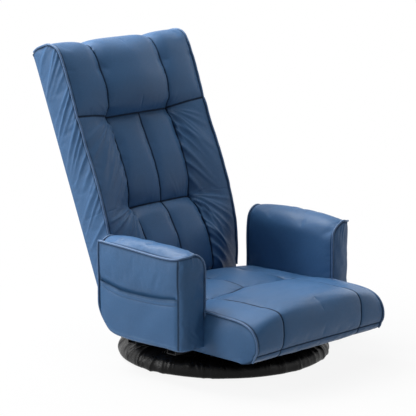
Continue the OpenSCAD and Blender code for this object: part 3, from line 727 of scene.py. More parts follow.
class Effects:
    """Shader node groups that several finishes share."""

    def __init__(self) -> None:
        """Builds each group once."""
        self.grain = self._grain()
        self.tone = self._tone()
        self.weave = self._weave()
        self.wear = self._wear()
        self.dust = self._dust()

    @staticmethod
    def _new(name: str, inputs: dict[str, object], *outputs: str) -> tuple[TreeMaker, dict[str, Socket]]:
        """Starts a group.

        Args:
            name: The group's name.
            inputs: Values of its inputs, by name; a Vector input comes first by itself.
            *outputs: Names of its outputs. All but Color are single values.

        Returns:
            A maker for its nodes, and the sockets of its inputs by name.
        """
        tree = bpy.data.node_groups.new(name, "ShaderNodeTree")
        tree.interface.new_socket("Vector", in_out="INPUT", socket_type="NodeSocketVector")
        for label, value in inputs.items():
            kind = "NodeSocketColor" if isinstance(value, tuple) else "NodeSocketFloat"
            tree.interface.new_socket(label, in_out="INPUT", socket_type=kind).default_value = value
        for label in outputs:
            kind = "NodeSocketColor" if label == "Color" else "NodeSocketFloat"
            tree.interface.new_socket(label, in_out="OUTPUT", socket_type=kind)
        maker = TreeMaker(tree)
        given = maker.add("NodeGroupInput").outputs
        return maker, {label: given[label] for label in ("Vector", *inputs)}

    def _grain(self) -> Tree:
        """Pebbled grain with fine pores, as height and as a mask of its hollows."""
        m, given = self._new("pebble_grain", {"Scale": 900.0, "Unevenness": 0.5}, "Height", "Hollows")
        where, scale = given["Vector"], given["Scale"]
        drift = m.noise(where, m.math("MULTIPLY", scale, 0.22), 2.0)
        push = m.add("ShaderNodeVectorMath", {0: drift.outputs["Color"], "Scale": 0.0011}, operation="SCALE")
        moved = m.add("ShaderNodeVectorMath", {0: where, 1: push.outputs[0]}, operation="ADD")
        cells = m.add("ShaderNodeTexVoronoi", {"Vector": moved.outputs[0], "Scale": scale},
                      feature="DISTANCE_TO_EDGE")
        fine = m.noise(where, m.math("MULTIPLY", scale, 2.6), 3.0)
        edge = m.span(cells.outputs["Distance"], 0.0, 0.22)
        rough = m.math("MULTIPLY", fine.outputs["Fac"], given["Unevenness"])
        height = m.math("ADD", edge, rough)
        hollow = m.math("SUBTRACT", 1.0, edge)
        m.add("NodeGroupOutput", {"Height": height, "Hollows": hollow})
        return m.tree

    def _tone(self) -> Tree:
        """Slow and fine changes of a colour over a surface."""
        m, given = self._new("tone_drift", {"Color": (0.5, 0.5, 0.5, 1.0), "Scale": 9.0, "Strength": 0.2},
                             "Color", "Mask")
        slow = m.noise(given["Vector"], given["Scale"], 4.0, Roughness=0.6)
        low = m.math("SUBTRACT", 1.0, given["Strength"])
        level = m.span(slow.outputs["Fac"], 0.3, 0.7, low)
        grey = m.add("ShaderNodeCombineColor", {0: level, 1: level, 2: level})
        colour = m.mix(1.0, given["Color"], grey.outputs[0], "MULTIPLY")
        m.add("NodeGroupOutput", {"Color": colour, "Mask": m.span(slow.outputs["Fac"], 0.35, 0.65)})
        return m.tree

    def _weave(self) -> Tree:
        """Crossing threads, as height and as a mask of the threads that lie on top."""
        m, given = self._new("plain_weave", {"Scale": 2500.0}, "Height", "Threads")
        sized = m.add("ShaderNodeVectorMath", {0: given["Vector"], "Scale": given["Scale"]},
                      operation="SCALE")
        parts = m.add("ShaderNodeSeparateXYZ", {0: sized.outputs[0]})
        over = m.math("SINE", m.math("ADD", parts.outputs[0], parts.outputs[2]))
        under = m.math("SINE", m.math("SUBTRACT", parts.outputs[1], parts.outputs[2]))
        cross = m.math("MULTIPLY", over, under)
        height = m.math("ADD", m.math("ABSOLUTE", over), m.math("MULTIPLY", cross, 0.5))
        m.add("NodeGroupOutput", {"Height": height, "Threads": m.span(cross, -0.4, 0.4)})
        return m.tree

    def _wear(self) -> Tree:
        """Rubbed edges, as a mask."""
        m, given = self._new("rubbed_edges", {"Reach": 0.06, "Scale": 60.0}, "Mask")
        shape = m.add("ShaderNodeNewGeometry")
        noise = m.noise(given["Vector"], given["Scale"], 4.0)
        lift = m.math("SUBTRACT", shape.outputs["Pointiness"], 0.5)
        edge = m.math("DIVIDE", lift, given["Reach"])
        broken = m.math("MULTIPLY", edge, m.span(noise.outputs["Fac"], 0.35, 0.65, 0.2, 1.3))
        m.add("NodeGroupOutput", {"Mask": m.span(broken, 0.15, 0.8)})
        return m.tree

    def _dust(self) -> Tree:
        """Dust that lies on what faces up, as a mask."""
        m, given = self._new("settled_dust", {"Scale": 30.0}, "Mask")
        shape = m.add("ShaderNodeNewGeometry")
        up = m.add("ShaderNodeSeparateXYZ", {0: shape.outputs["Normal"]})
        noise = m.noise(given["Vector"], given["Scale"], 5.0)
        flat = m.span(up.outputs[2], 0.4, 1.0)
        m.add("NodeGroupOutput", {"Mask": m.math("MULTIPLY", flat, m.span(noise.outputs["Fac"], 0.4, 0.75))})
        return m.tree


class Surface:
    """One material in the making: its tree, its shader and its coordinates."""

    def __init__(self, name: str, metallic: float = 0.0, **fixed: float) -> None:
        """Starts a material.

        Args:
            name: The material's name.
            metallic: Metallic value, the same all over.
            **fixed: Other shader values that are the same all over, with _ for a space.
        """
        self.material = bpy.data.materials.new(name)
        self.material.use_nodes = True
        self.maker = TreeMaker(self.material.node_tree)
        self.shader = self.material.node_tree.nodes["Principled BSDF"]
        self.shader.inputs["Metallic"].default_value = metallic
        for key, value in fixed.items():
            self.shader.inputs[key.replace("_", " ")].default_value = value
        self.where = self.maker.add("ShaderNodeTexCoord").outputs["Object"]

    def use(self, tree: Tree, **values: object) -> Node:
        """Places a shared group, with the surface's own coordinates and the values given."""
        return self.maker.add("ShaderNodeGroup", {"Vector": self.where, **values}, node_tree=tree)

    def stretched(self, x: float, y: float, z: float) -> Socket:
        """Gives the coordinates stretched along the axes."""
        node = self.maker.add("ShaderNodeMapping", {"Vector": self.where, "Scale": (x, y, z)})
        return node.outputs[0]

    def finish(self, colour: object, roughness: object, height: object = None, strength: float = 0.3,
               distance: float = 0.001) -> Material:
        """Feeds the shader and gives the material.

        Args:
            colour: Base colour socket.
            roughness: Roughness socket or value.
            height: Height socket for the bump.
            strength: Strength of the bump.
            distance: Depth of the bump.

        Returns:
            The material.
        """
        link = self.maker.tree.links.new
        link(colour, self.shader.inputs["Base Color"])
        if isinstance(roughness, Socket):
            link(roughness, self.shader.inputs["Roughness"])
        else:
            self.shader.inputs["Roughness"].default_value = roughness
        if height is not None:
            bump = self.maker.add("ShaderNodeBump",
                                  {"Height": height, "Strength": strength, "Distance": distance})
            link(bump.outputs[0], self.shader.inputs["Normal"])
        return self.material


@dataclass(frozen=True)
class Leatherette:
    """Soft blue leatherette with pebbled grain, with painted shade in its sewn lines and beside its piped
    edges.
    """

    name: str = "blue_leatherette"
    colour: Colour = (0.047, 0.136, 0.296, 1.0)
    # near-black colour: painted shade in the sewn creases and beside the piping, and the darker pores of the
    # grain
    seam_colour: Colour = (0.003, 0.010, 0.026, 1.0)
    rub_colour: Colour = (0.10, 0.20, 0.36, 1.0)
    seams: bool = True
    shine: float = 0.26

    def material(self, effects: Effects) -> Material:
        """Builds the material."""
        s = Surface(self.name, Specular_IOR_Level=self.shine)
        m = s.maker
        tone = s.use(effects.tone, Color=self.colour, Scale=7.0, Strength=0.12)
        fine = s.use(effects.tone, Color=tone.outputs["Color"], Scale=160.0, Strength=0.08)
        grain = s.use(effects.grain, Scale=850.0, Unevenness=0.45)
        rub = s.use(effects.wear, Reach=0.10, Scale=40.0)
        hollows = grain.outputs["Hollows"]
        colour = m.mix(m.math("MULTIPLY", hollows, 0.22), fine.outputs["Color"], self.seam_colour)
        colour = m.mix(m.math("MULTIPLY", rub.outputs["Mask"], 0.35), colour, self.rub_colour)
        smear = m.noise(s.where, 14.0, 3.0)
        rough = m.math("ADD", m.span(smear.outputs["Fac"], 0.3, 0.7, 0.35, 0.44),
                       m.math("MULTIPLY", hollows, 0.12))
        # painted shade: near-black along the sewn lines and the piped edges, read from the piece's 'sewn'
        # attribute
        if self.seams:
            seam = m.add("ShaderNodeAttribute", attribute_name="sewn").outputs["Fac"]
            colour = m.mix(m.math("MULTIPLY", seam, 0.96), colour, self.seam_colour)
            rough = m.math("ADD", rough, m.math("MULTIPLY", seam, 0.45))
        return s.finish(colour, rough, grain.outputs["Height"], 0.22, 0.0004)


@dataclass(frozen=True)
class Thread:
    """Twisted sewing thread."""

    name: str = "blue_thread"
    colour: Colour = (0.045, 0.085, 0.16, 1.0)

    def material(self, effects: Effects) -> Material:
        """Builds the material."""
        s = Surface(self.name, Sheen_Weight=0.3)
        tone = s.use(effects.tone, Color=self.colour, Scale=300.0, Strength=0.4)
        weave = s.use(effects.weave, Scale=9000.0)
        return s.finish(tone.outputs["Color"], 0.6, weave.outputs["Height"], 0.3, 0.0002)


@dataclass(frozen=True)
class BlackCloth:
    """Smooth black cloth of the base cover, with a soft gloss."""

    name: str
    colour: Colour
    rough: float
    weave: float

    def material(self, effects: Effects) -> Material:
        """Builds the material."""
        s = Surface(self.name, Specular_IOR_Level=0.15)
        m = s.maker
        tone = s.use(effects.tone, Color=self.colour, Scale=35.0, Strength=0.35)
        weave = s.use(effects.weave, Scale=self.weave)
        dust = s.use(effects.dust, Scale=45.0)
        grey = tuple(min(1.0, 3 * v + 0.05) for v in self.colour[:3]) + (1.0,)
        colour = m.mix(m.math("MULTIPLY", dust.outputs["Mask"], 0.02), tone.outputs["Color"], grey)
        rough = m.span(tone.outputs["Mask"], 0.0, 1.0, self.rough - 0.06, self.rough + 0.08)
        return s.finish(colour, rough, weave.outputs["Height"], 0.25, 0.0003)


@dataclass(frozen=True)
class Fibres:
    """Felt, foam or webbing: matt stuff with fibres, pores or threads."""

    name: str
    colour: Colour
    scale: float
    woven: bool = False

    def material(self, effects: Effects) -> Material:
        """Builds the material."""
        s = Surface(self.name, Sheen_Weight=0.25, Specular_IOR_Level=0.25)
        m = s.maker
        tone = s.use(effects.tone, Color=self.colour, Scale=self.scale / 12, Strength=0.4)
        if self.woven:
            weave = s.use(effects.weave, Scale=self.scale)
            height, dark = weave.outputs["Height"], weave.outputs["Threads"]
        else:
            grain = s.use(effects.grain, Scale=self.scale, Unevenness=1.2)
            height, dark = grain.outputs["Height"], grain.outputs["Hollows"]
        deep = tuple(0.45 * v for v in self.colour[:3]) + (1.0,)
        colour = m.mix(m.math("MULTIPLY", dark, 0.6), tone.outputs["Color"], deep)
        return s.finish(colour, 0.9, height, 0.5, 0.0006)


@dataclass(frozen=True)
class Plywood:
    """Pale plywood with long figure and darker lines."""

    name: str = "plywood"
    colour: Colour = (0.50, 0.35, 0.19, 1.0)
    dark: Colour = (0.30, 0.18, 0.08, 1.0)

    def material(self, effects: Effects) -> Material:
        """Builds the material."""
        s = Surface(self.name, Specular_IOR_Level=0.35)
        m = s.maker
        figure = m.noise(s.stretched(60.0, 4.0, 60.0), 1.6, 6.0, Distortion=1.2).outputs["Fac"]
        tone = s.use(effects.tone, Color=self.colour, Scale=12.0, Strength=0.25)
        lines = m.span(figure, 0.42, 0.66)
        colour = m.mix(m.math("MULTIPLY", lines, 0.7), tone.outputs["Color"], self.dark)
        return s.finish(colour, m.span(figure, 0.3, 0.7, 0.5, 0.7), figure, 0.3, 0.0005)


@dataclass(frozen=True)
class Steel:
    """Painted, plated or bright steel with rubbed edges."""

    name: str
    colour: Colour
    bare: Colour
    rough: float
    metallic: float = 1.0
    brushed: float = 0.0
    edges: float = 0.05

    def material(self, effects: Effects) -> Material:
        """Builds the material."""
        s = Surface(self.name, metallic=self.metallic, Specular_IOR_Level=0.5)
        m = s.maker
        tone = s.use(effects.tone, Color=self.colour, Scale=40.0, Strength=0.25)
        wear = s.use(effects.wear, Reach=self.edges, Scale=120.0)
        dust = s.use(effects.dust, Scale=60.0)
        colour = m.mix(m.math("MULTIPLY", wear.outputs["Mask"], 0.6), tone.outputs["Color"], self.bare)
        lines = m.noise(s.stretched(30.0, 900.0, 900.0), 1.0, 3.0)
        rough = m.math("ADD", m.span(lines.outputs["Fac"], 0.3, 0.7, self.rough - 0.06, self.rough + 0.08),
                       m.math("MULTIPLY", dust.outputs["Mask"], 0.25))
        return s.finish(colour, rough, lines.outputs["Fac"], 0.05 + 0.25 * self.brushed, 0.0003)


@dataclass(frozen=True)
class CagePlastic:
    """Moulded plastic of the ball cage."""

    name: str = "cage_plastic"
    colour: Colour = (0.55, 0.42, 0.14, 1.0)

    def material(self, effects: Effects) -> Material:
        """Builds the material."""
        s = Surface(self.name, Specular_IOR_Level=0.5, Subsurface_Weight=0.1)
        tone = s.use(effects.tone, Color=self.colour, Scale=60.0, Strength=0.2)
        grain = s.use(effects.grain, Scale=2200.0, Unevenness=0.3)
        return s.finish(tone.outputs["Color"], 0.38, grain.outputs["Height"], 0.08, 0.0002)


class Finishes:
    """Every material of the chair: the record's slots by name, and those of the piping and the thread."""

    def __init__(self) -> None:
        """Builds the materials."""
        effects = Effects()
        # the piping is a lighter copy of the leatherette: painted highlight for the light that its cord
        # catches
        piping = Leatherette(name="piping_leatherette_painted_highlight", seams=False, shine=0.4,
                             colour=(0.074, 0.160, 0.325, 1.0))
        self.piping = piping.material(effects)
        self.thread = Thread().material(effects)
        recipes = (
            Leatherette(),
            BlackCloth("black_cover", (0.0045, 0.0045, 0.005, 1.0), 0.30, 3200.0),
            BlackCloth("black_lining", (0.016, 0.016, 0.018, 1.0), 0.75, 2600.0),
            Fibres("felt", (0.022, 0.022, 0.024, 1.0), 900.0),
            Fibres("foam", (0.70, 0.66, 0.56, 1.0), 700.0),
            Fibres("webbing", (0.10, 0.08, 0.06, 1.0), 1800.0, woven=True),
            Plywood(),
            Steel("black_steel", (0.02, 0.02, 0.022, 1.0), (0.03, 0.03, 0.033, 1.0), 0.62, metallic=0.0,
                  edges=0.5),
            Steel("plated_steel", (0.42, 0.43, 0.45, 1.0), (0.62, 0.62, 0.63, 1.0), 0.34, brushed=1.0),
            Steel("bright_steel", (0.60, 0.61, 0.62, 1.0), (0.75, 0.75, 0.75, 1.0), 0.2, brushed=0.3),
            CagePlastic(),
        )
        self.slots = {recipe.name: recipe.material(effects) for recipe in recipes}


@dataclass
class Workshop:
    """What every sub-assembly builds with."""

    finishes: Finishes
    paths: PathDresser

    def dress(self, piece: Piece, body: str, slot: str, nodes: Sequence[str] = (),
              material: Material | None = None) -> None:
        """Finishes a piece.

        Args:
            piece: The piece.
            body: The body that it rides on.
            slot: Its slot in the record.
            nodes: The CAD nodes that it stands for.
            material: Its material, where that isn't the slot's own.
        """
        piece.data.materials.clear()
        piece.data.materials.append(material or self.finishes.slots[slot])
        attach(piece, body)
        if nodes:
            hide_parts(*nodes)
        LOG.info("%s rides on %s: %d faces", piece.name, body, len(piece.data.polygons))

    def cover(self, piece: Piece, body: str, node: str) -> None:
        """Dresses a piece in leatherette and lets it stand for one node."""
        self.dress(piece, body, "blue_leatherette", [node])

    def trim(self, name: str, paths: Sequence[Points], body: str, radius: float = PIPING_RADIUS) -> None:
        """Lays piping along paths and dresses it."""
        cord = self.paths.piping(name, [eased(path) for path in paths], radius, self.finishes.piping)
        self.dress(cord, body, "blue_leatherette", material=self.finishes.piping)

    def sew(self, name: str, paths: Sequence[Points], body: str) -> None:
        """Sews stitches along paths and dresses them."""
        row = self.paths.stitches(name, paths, self.finishes.thread)
        self.dress(row, body, "blue_leatherette", material=self.finishes.thread)


# ---------------------------------------------------------------- seat


@dataclass
class SeatCushion:
    """The seat: a crowned top in sewn panels that rolls over the front."""

    shop: Workshop
    half: float = 0.237
    rear: float = 0.165
    bottom: float = 0.0745
    seam_x: float = 0.146
    roof: float = 0.0866
    recess_half: float = 0.2125
    recess_front: float = -0.311
    recess_rear: float = 0.1535
    slot_x: float = 0.1755
    seam_y: float = -0.098
    front_y: float = -0.268
    seam_row: int = field(init=False)
    low_row: int = field(init=False)
    columns: dict[str, int] = field(init=False)
    side_line: Pairs = (
        (-0.340, 0.164), (-0.301, 0.1760), (-0.220, 0.1818), (-0.166, 0.1839), (-0.092, 0.1791),
        (-0.021, 0.176), (0.053, 0.1741), (0.120, 0.170), (0.148, 0.160), (0.166, 0.138))
    crown_line: Pairs = (
        (-0.340, 0.196), (-0.301, 0.2035), (-0.234, 0.2085), (-0.166, 0.2055), (-0.117, 0.2006),
        (-0.080, 0.1975), (-0.050, 0.1982), (-0.010, 0.1990), (0.035, 0.1965), (0.110, 0.190),
        (0.148, 0.172), (0.166, 0.140))
    side_front: Pairs = (
        (-0.268, 0.1788), (-0.300, 0.1762), (-0.325, 0.1662), (-0.341, 0.1490), (-0.3475, 0.1300),
        (-0.3475, 0.1130), (-0.3430, 0.0985), (-0.3330, 0.0860), (-0.3180, 0.0775), (-0.2980, 0.0745))
    crown_front: Pairs = (
        (-0.268, 0.2085), (-0.305, 0.2072), (-0.337, 0.2018), (-0.3518, 0.1835), (-0.3552, 0.1530),
        (-0.3545, 0.1240), (-0.3490, 0.1015), (-0.3390, 0.0880), (-0.3240, 0.0790), (-0.3000, 0.0745))
    front_seam: float = 6.0
    free_y: float = -0.172
    long_seam: Seam = Seam(0.0026, 0.0026, 0.0034, 0.022)
    rear_seam: Seam = Seam(0.0026, 0.0026, 0.0045, 0.022)
    cross_seam: Seam = Seam(0.0030, 0.0028, 0.0065, 0.026)
    long_seam_front: Seam = Seam(0.0024, 0.0026, 0.0025, 0.020)
    cross_seam_front: Seam = Seam(0.0026, 0.22, 0.0036, 0.9)
    wave: Pairs = (
        (-0.237, -0.135), (-0.200, -0.120), (-0.146, -0.094), (-0.090, -0.098), (-0.040, -0.088),
        (0.0, -0.078), (0.040, -0.088), (0.090, -0.098), (0.146, -0.094), (0.200, -0.120), (0.237, -0.135))

    def top(self, x: Points, y: Points, cross: Points) -> Points:
        """Finds the height of the seat's top.

        Args:
            x: Places across.
            y: Places along.
            cross: Distances from the sewn line across the seat.

        Returns:
            Heights.
        """
        side, crown = smooth(y, self.side_line), smooth(y, self.crown_line)
        z = side + (crown - side) * (1 - np.abs(x / self.half) ** 3.2)
        front = np.clip((y + 0.30) / 0.05, 0, 1)
        z = z - self.long_seam.sink(np.abs(x) - self.seam_x)
        behind = (y > self.wave[5][1]) * np.clip(-cross / 0.01 + 0.2, 0, 1)
        z = z - behind * self.rear_seam.sink(x)
        inner = np.clip((self.seam_x + 0.03 - np.abs(x)) / 0.03, 0.35, 1)
        return z - front * inner * self.cross_seam.sink(cross)

    def front(self, x: Points, at: Points) -> Points:
        """Finds the rolled front.

        Args:
            x: Places across, one for each column.
            at: Station numbers down the front.

        Returns:
            Points in rows and columns.
        """
        side, crown = stations(at, self.side_front), stations(at, self.crown_front)
        share = 1 - np.abs(x / self.half) ** 3.2
        yz = side[:, None] + (crown - side)[:, None] * share[None, :, None]
        fall = self.long_seam_front.sink(np.abs(x) - self.seam_x)[None]
        seam = self.cross_seam_front.sink(at - self.front_seam)[:, None]
        out = np.clip(1 - at / 2.5, 0, 1)[:, None]
        low = np.clip((8.6 - at) / 2, 0, 1)[:, None]
        y = yz[..., 0] + (1 - out) * fall * low + seam
        z = yz[..., 1] - out * fall
        return np.stack([np.broadcast_to(x, y.shape), y, z], axis=-1)

    def under(self, x: Points, y: Points) -> Points:
        """Finds the height of the underside, which is hollow over the seat frame."""
        inside = (np.abs(x) < self.recess_half) & (y > self.recess_front) & (y < self.recess_rear)
        slot = (np.abs(x) > self.slot_x) & (np.abs(x) < self.recess_half) & (y > self.recess_rear - 0.002)
        return np.where(inside | slot, self.roof, self.bottom)

    def build(self) -> None:
        """Makes the cushion, its piping and its stitches."""
        x = graded(-self.half, self.half, STEP, (-self.half, -self.seam_x, 0.0, self.seam_x, self.half))
        self.columns = seam_columns(x, self.seam_x)
        path = self._path(x)
        shell = self._shell(x, path)
        cushion = shell.build("seat_cushion_cover")
        upholstered(cushion, self._held(shell), Stuffing(3.0, 0.004, 0.0055), self._wrinkles)
        lines = [shell.line("top", ALL, self.columns[key]) for key in ("left", "right")]
        lines.append(shell.line("top", slice(0, self.seam_row + 1), self.columns["middle"]))
        lines += [shell.line("top", row) for row in (self.seam_row, self.low_row)]
        edges = [shell.line("top", ALL, column) for column in (0, -1)]
        mark_sewn(cushion, lines, 0.0027, edges, 0.0060)
        self.shop.cover(cushion, "seat", "seat_cushion")
        self._trim(shell)

    def _path(self, x: Points) -> Points:
        """Lays the top's and the front's rows in one grid, from the rear edge to the foot of the front."""
        steps = -graded(-self.rear, -self.front_y, STEP, (-self.seam_y,))
        self.seam_row = nearest(steps, self.seam_y)
        cross = steps[:, None] - self.seam_y
        y = steps[:, None] + np.exp(-((cross / 0.07) ** 2)) * (smooth(x, self.wave) - self.seam_y)[None]
        xx = np.broadcast_to(x, y.shape)
        roof = np.stack([xx, y, self.top(xx, y, -cross)], axis=-1)
        marks = graded(0.0, len(self.side_front) - 1.0, 0.19, (self.front_seam,), (0.09, 0.2, 0.4))
        self.low_row = len(roof) - 1 + nearest(marks, self.front_seam)
        nose = self.front(x, marks)
        nose[0] = roof[-1]
        blend = np.clip(marks[:, None] / 1.2, 0, 1)[..., None]
        nose = nose + (roof[-1] - self.front(x, marks[:1])[0]) * (1 - blend)
        return np.concatenate([roof, nose[1:]])

    def _shell(self, x: Points, path: Points) -> Shell:
        """Closes the top with the underside, the rear and two sides, a little full before the arms."""
        shell = Shell()
        shell.add("top", path, turned=True)
        share = np.linspace(0, 1, len(path))[:, None]
        y = path[0, :, 1] + (path[-1, :, 1] - path[0, :, 1]) * share
        xx = np.broadcast_to(x, y.shape)
        z = self.under(xx, y)
        z[:, 0] = z[:, -1] = self.bottom
        z[-1] = path[-1, :, 2]
        below = np.stack([xx, y, z], axis=-1)
        shell.add("under", below)
        shell.add("rear", ruled(path[0], below[0], np.linspace(0, 1, 8)).swapaxes(0, 1))
        rungs = graded(0.0, 1.0, 0.09, (0.0,), (0.026, 0.055))
        for column, side in ((0, -1), (-1, 1)):
            grid = ruled(path[:, column], below[:, column], rungs)
            free = np.clip((self.free_y - path[:, column, 1]) / 0.02, 0, 1)[:, None]
            grid[..., 0] += side * (np.sin(math.pi * rungs) * free * 0.006)
            shell.add(f"side{side}", grid, turned=side > 0)
        return shell

    def _held(self, shell: Shell) -> Points:
        """Holds the underside, the rear, the piped edges and the sewn lines."""
        held = np.zeros(len(shell.piece.data.vertices))
        for key in ("under", "rear"):
            held[np.unique(shell.index[key])] = 1
        top = shell.index["top"]
        for column in (0, -1, self.columns["left"], self.columns["right"]):
            held[top[:, column]] = 1
        held[top[:self.seam_row + 1, self.columns["middle"]]] = 1
        held[top[[self.seam_row, self.low_row]]] = 1
        return held

    def _wrinkles(self, p: Points, _: Points) -> Points:
        """Finds the small gathers of the top and the slow unevenness all over."""
        x, y, z = p.T
        top = np.clip((z - 0.15) / 0.03, 0, 1) * np.clip((y + 0.30) / 0.03, 0, 1)
        lift = 0.0007 * wobble(p, 0.09, 3)
        for side in (-1, 1):
            fan = Fan(self.seam_x, -0.094, -80, 80, 7, 0.05, 0.0011, 11 + side)
            lift = lift + top * fan.lift(side * x, y)
        fan = Fan(0.0, -0.078, 30, 150, 6, 0.04, 0.0009, 15)
        lift = lift + top * fan.lift(x, y)
        under = np.clip((z - self.bottom - 0.004) / 0.01, 0, 1)
        return lift * under

    def _trim(self, shell: Shell) -> None:
        """Lays the piping along both sides and the stitches beside the front seam."""
        run = slice(4, self.low_row + 8)
        sides = [shell.line("top", run, column, 0.0018) for column in (0, -1)]
        self.shop.trim("seat_piping", sides, "seat")
        rows = [shell.line("top", self.low_row + step, lift=0.0002)[3:-3] for step in (3, -3)]
        self.shop.sew("seat_front_stitches", rows, "seat")


def seam_columns(x: Points, seam_x: float) -> dict[str, int]:
    """Finds the columns of a cushion's long sewn lines."""
    return {key: nearest(x, at) for key, at in (("left", -seam_x), ("middle", 0.0), ("right", seam_x))}


def mark_sewn(piece: Piece, lines: Sequence[Points], reach: float, edges: Sequence[Points],
              edge_reach: float) -> None:
    """Marks painted shade by how close a cushion's points are to its sewn lines and, a little weaker, to its
    piped edges.
    """
    places = places_of(piece)
    sewn, piped = closeness(places, lines, reach), closeness(places, edges, edge_reach)
    # the 'sewn' attribute carries painted shade for the creases of the sewn lines and beside the piping
    mark(piece, "sewn", np.maximum(sewn, 0.85 * piped))


def closeness(places: Points, lines: Sequence[Points], reach: float) -> Points:
    """Finds how close points are to lines, from 1 on a line to 0 away from it.

    Args:
        places: The points.
        lines: Lines of points.
        reach: Distance at which the value has dropped to about a third.

    Returns:
        One value for each point.
    """
    fine = []
    for line in lines:
        length = np.concatenate([[0], np.cumsum(np.linalg.norm(np.diff(line, axis=0), axis=1))])
        at = np.arange(0, length[-1], 0.0008)
        fine.append(np.stack([np.interp(at, length, line[:, k]) for k in range(3)], axis=-1))
    fine = np.concatenate(fine)
    tree = KDTree(len(fine))
    for i, point in enumerate(fine):
        tree.insert(point, i)
    tree.balance()
    distance = np.array([tree.find(p)[2] for p in places])
    return np.exp(-((distance / reach) ** 4))


# ---------------------------------------------------------------- back


@dataclass
class BackCushion:
    """The back: four sewn channels, a headrest and deep sides, measured up from the recline axis."""

    shop: Workshop
    half: float = 0.232
    seam_x: float = 0.111
    rear: float = 0.0143
    recess: float = -0.0125
    recess_half: float = 0.2046
    recess_top: float = 0.7025
    foot: float = 0.042
    side_path: Pairs = (
        (-0.034, 0.045), (-0.045, 0.070), (-0.057, 0.095), (-0.066, 0.122), (-0.078, 0.160),
        (-0.086, 0.200), (-0.091, 0.235), (-0.093, 0.264), (-0.0945, 0.295), (-0.096, 0.340),
        (-0.0945, 0.390), (-0.0915, 0.440), (-0.0915, 0.480), (-0.0915, 0.506), (-0.092, 0.525),
        (-0.0925, 0.555), (-0.0930, 0.595), (-0.0935, 0.640), (-0.0925, 0.672), (-0.088, 0.700),
        (-0.076, 0.717), (-0.056, 0.7275), (-0.025, 0.7300), (0.001, 0.7280), (0.0143, 0.719))
    middle_path: Pairs = (
        (-0.060, 0.043), (-0.080, 0.063), (-0.089, 0.092), (-0.094, 0.124), (-0.096, 0.160),
        (-0.091, 0.197), (-0.084, 0.235), (-0.0745, 0.264), (-0.080, 0.297), (-0.085, 0.340),
        (-0.086, 0.390), (-0.082, 0.440), (-0.0795, 0.480), (-0.0790, 0.506), (-0.0955, 0.5245),
        (-0.109, 0.553), (-0.115, 0.590), (-0.1115, 0.635), (-0.106, 0.670), (-0.094, 0.699),
        (-0.075, 0.7175), (-0.049, 0.7265), (-0.020, 0.7290), (0.003, 0.7265), (0.0143, 0.719))
    low_seam: int = 7
    high_seam: int = 13
    seam_rise: float = 0.75
    head_crown: float = 0.013
    long_seam: Seam = Seam(0.0032, 0.0028)
    long_fall: Seam = Seam(0.0, 1.0, 0.0075, 0.020)
    middle_seam: Seam = Seam(0.0030, 0.0027, 0.0060, 0.019)
    low_cross: Seam = Seam(0.0034, 0.0030, 0.0070, 0.022)
    high_cross: Seam = Seam(0.0034, 0.0030, 0.0070, 0.020)
    side_seam: Seam = Seam(0.0022, 0.0035)
    low_row: int = field(init=False)
    high_row: int = field(init=False)
    columns: dict[str, int] = field(init=False)

    def fans(self, side: int) -> list[Fan]:
        """The gathers that spread from the tufts of one side column."""
        return [
            Fan(self.seam_x, 0.506, -86, -14, 6, 0.15, 0.0058, 31 + side),
            Fan(self.seam_x, 0.506, 6, 70, 3, 0.05, 0.0016, 41 + side),
            Fan(self.seam_x, 0.264, -90, -14, 7, 0.14, 0.0062, 51 + side),
            Fan(self.seam_x, 0.264, 10, 60, 3, 0.05, 0.0014, 61 + side),
        ]

    def puckers(self) -> list[Fan]:
        """The small gathers that stand on the lower seam, between the tufts."""
        return [
            Fan(0.075, 0.225, 62, 118, 6, 0.085, 0.0013, 131),
            Fan(-0.055, 0.225, 66, 114, 4, 0.075, 0.0008, 132),
            Fan(0.060, 0.470, 66, 114, 4, 0.070, 0.0006, 133),
        ]

    def pulls(self, side: int) -> list[Streaks]:
        """The slanting folds that leave the long sewn line of one side column."""
        strength = 0.75 + 0.25 * side
        return [
            Streaks(0.300, 0.500, 0.030, -1.35, 0.100, 0.0060 * strength, 111 + side),
            Streaks(0.060, 0.255, 0.026, -1.20, 0.095, 0.0062 * strength, 121 + side),
        ]

    def skin(self, x: Points, at: Points) -> Points:
        """Finds the front, the rolled top and the sewn lines.

        Args:
            x: Places across, one for each column.
            at: Station numbers up the front and over the top.

        Returns:
            Points in rows and columns, in the back's own frame.
        """
        past = np.clip((np.abs(x) - self.seam_x) / (self.half - self.seam_x), 0, 1)
        raised = self.seam_rise * past[None] ** 0.8 * np.exp(-(((at - self.high_seam) / 2.2) ** 2))[:, None]
        here = np.minimum(at[:, None] + raised, len(self.side_path) - 1)
        side, middle = stations(here, self.side_path), stations(here, self.middle_path)
        share = past ** 1.25
        yz = middle + (side - middle) * share[None, :, None]
        level = stations(at, self.side_path)[:, None, 1]
        crown = np.clip((at - self.high_seam) / 2, 0, 1) * np.clip((20 - at) / 3, 0, 1)
        full = (np.minimum(np.abs(x), self.seam_x) / self.seam_x) ** 2 * (1 - past) ** 1.5
        yz[..., 0] += self.head_crown * crown[:, None] * full
        along = np.gradient(yz, axis=0)
        out = np.stack([-along[..., 1], along[..., 0]], axis=-1)
        out /= np.linalg.norm(out, axis=-1, keepdims=True) + 1e-9
        sink = self._sink(x, at, np.broadcast_to(level, yz.shape[:2]), past)
        yz = yz - out * sink[..., None]
        return np.stack([np.broadcast_to(x, yz.shape[:2]), yz[..., 0], yz[..., 1]], axis=-1)

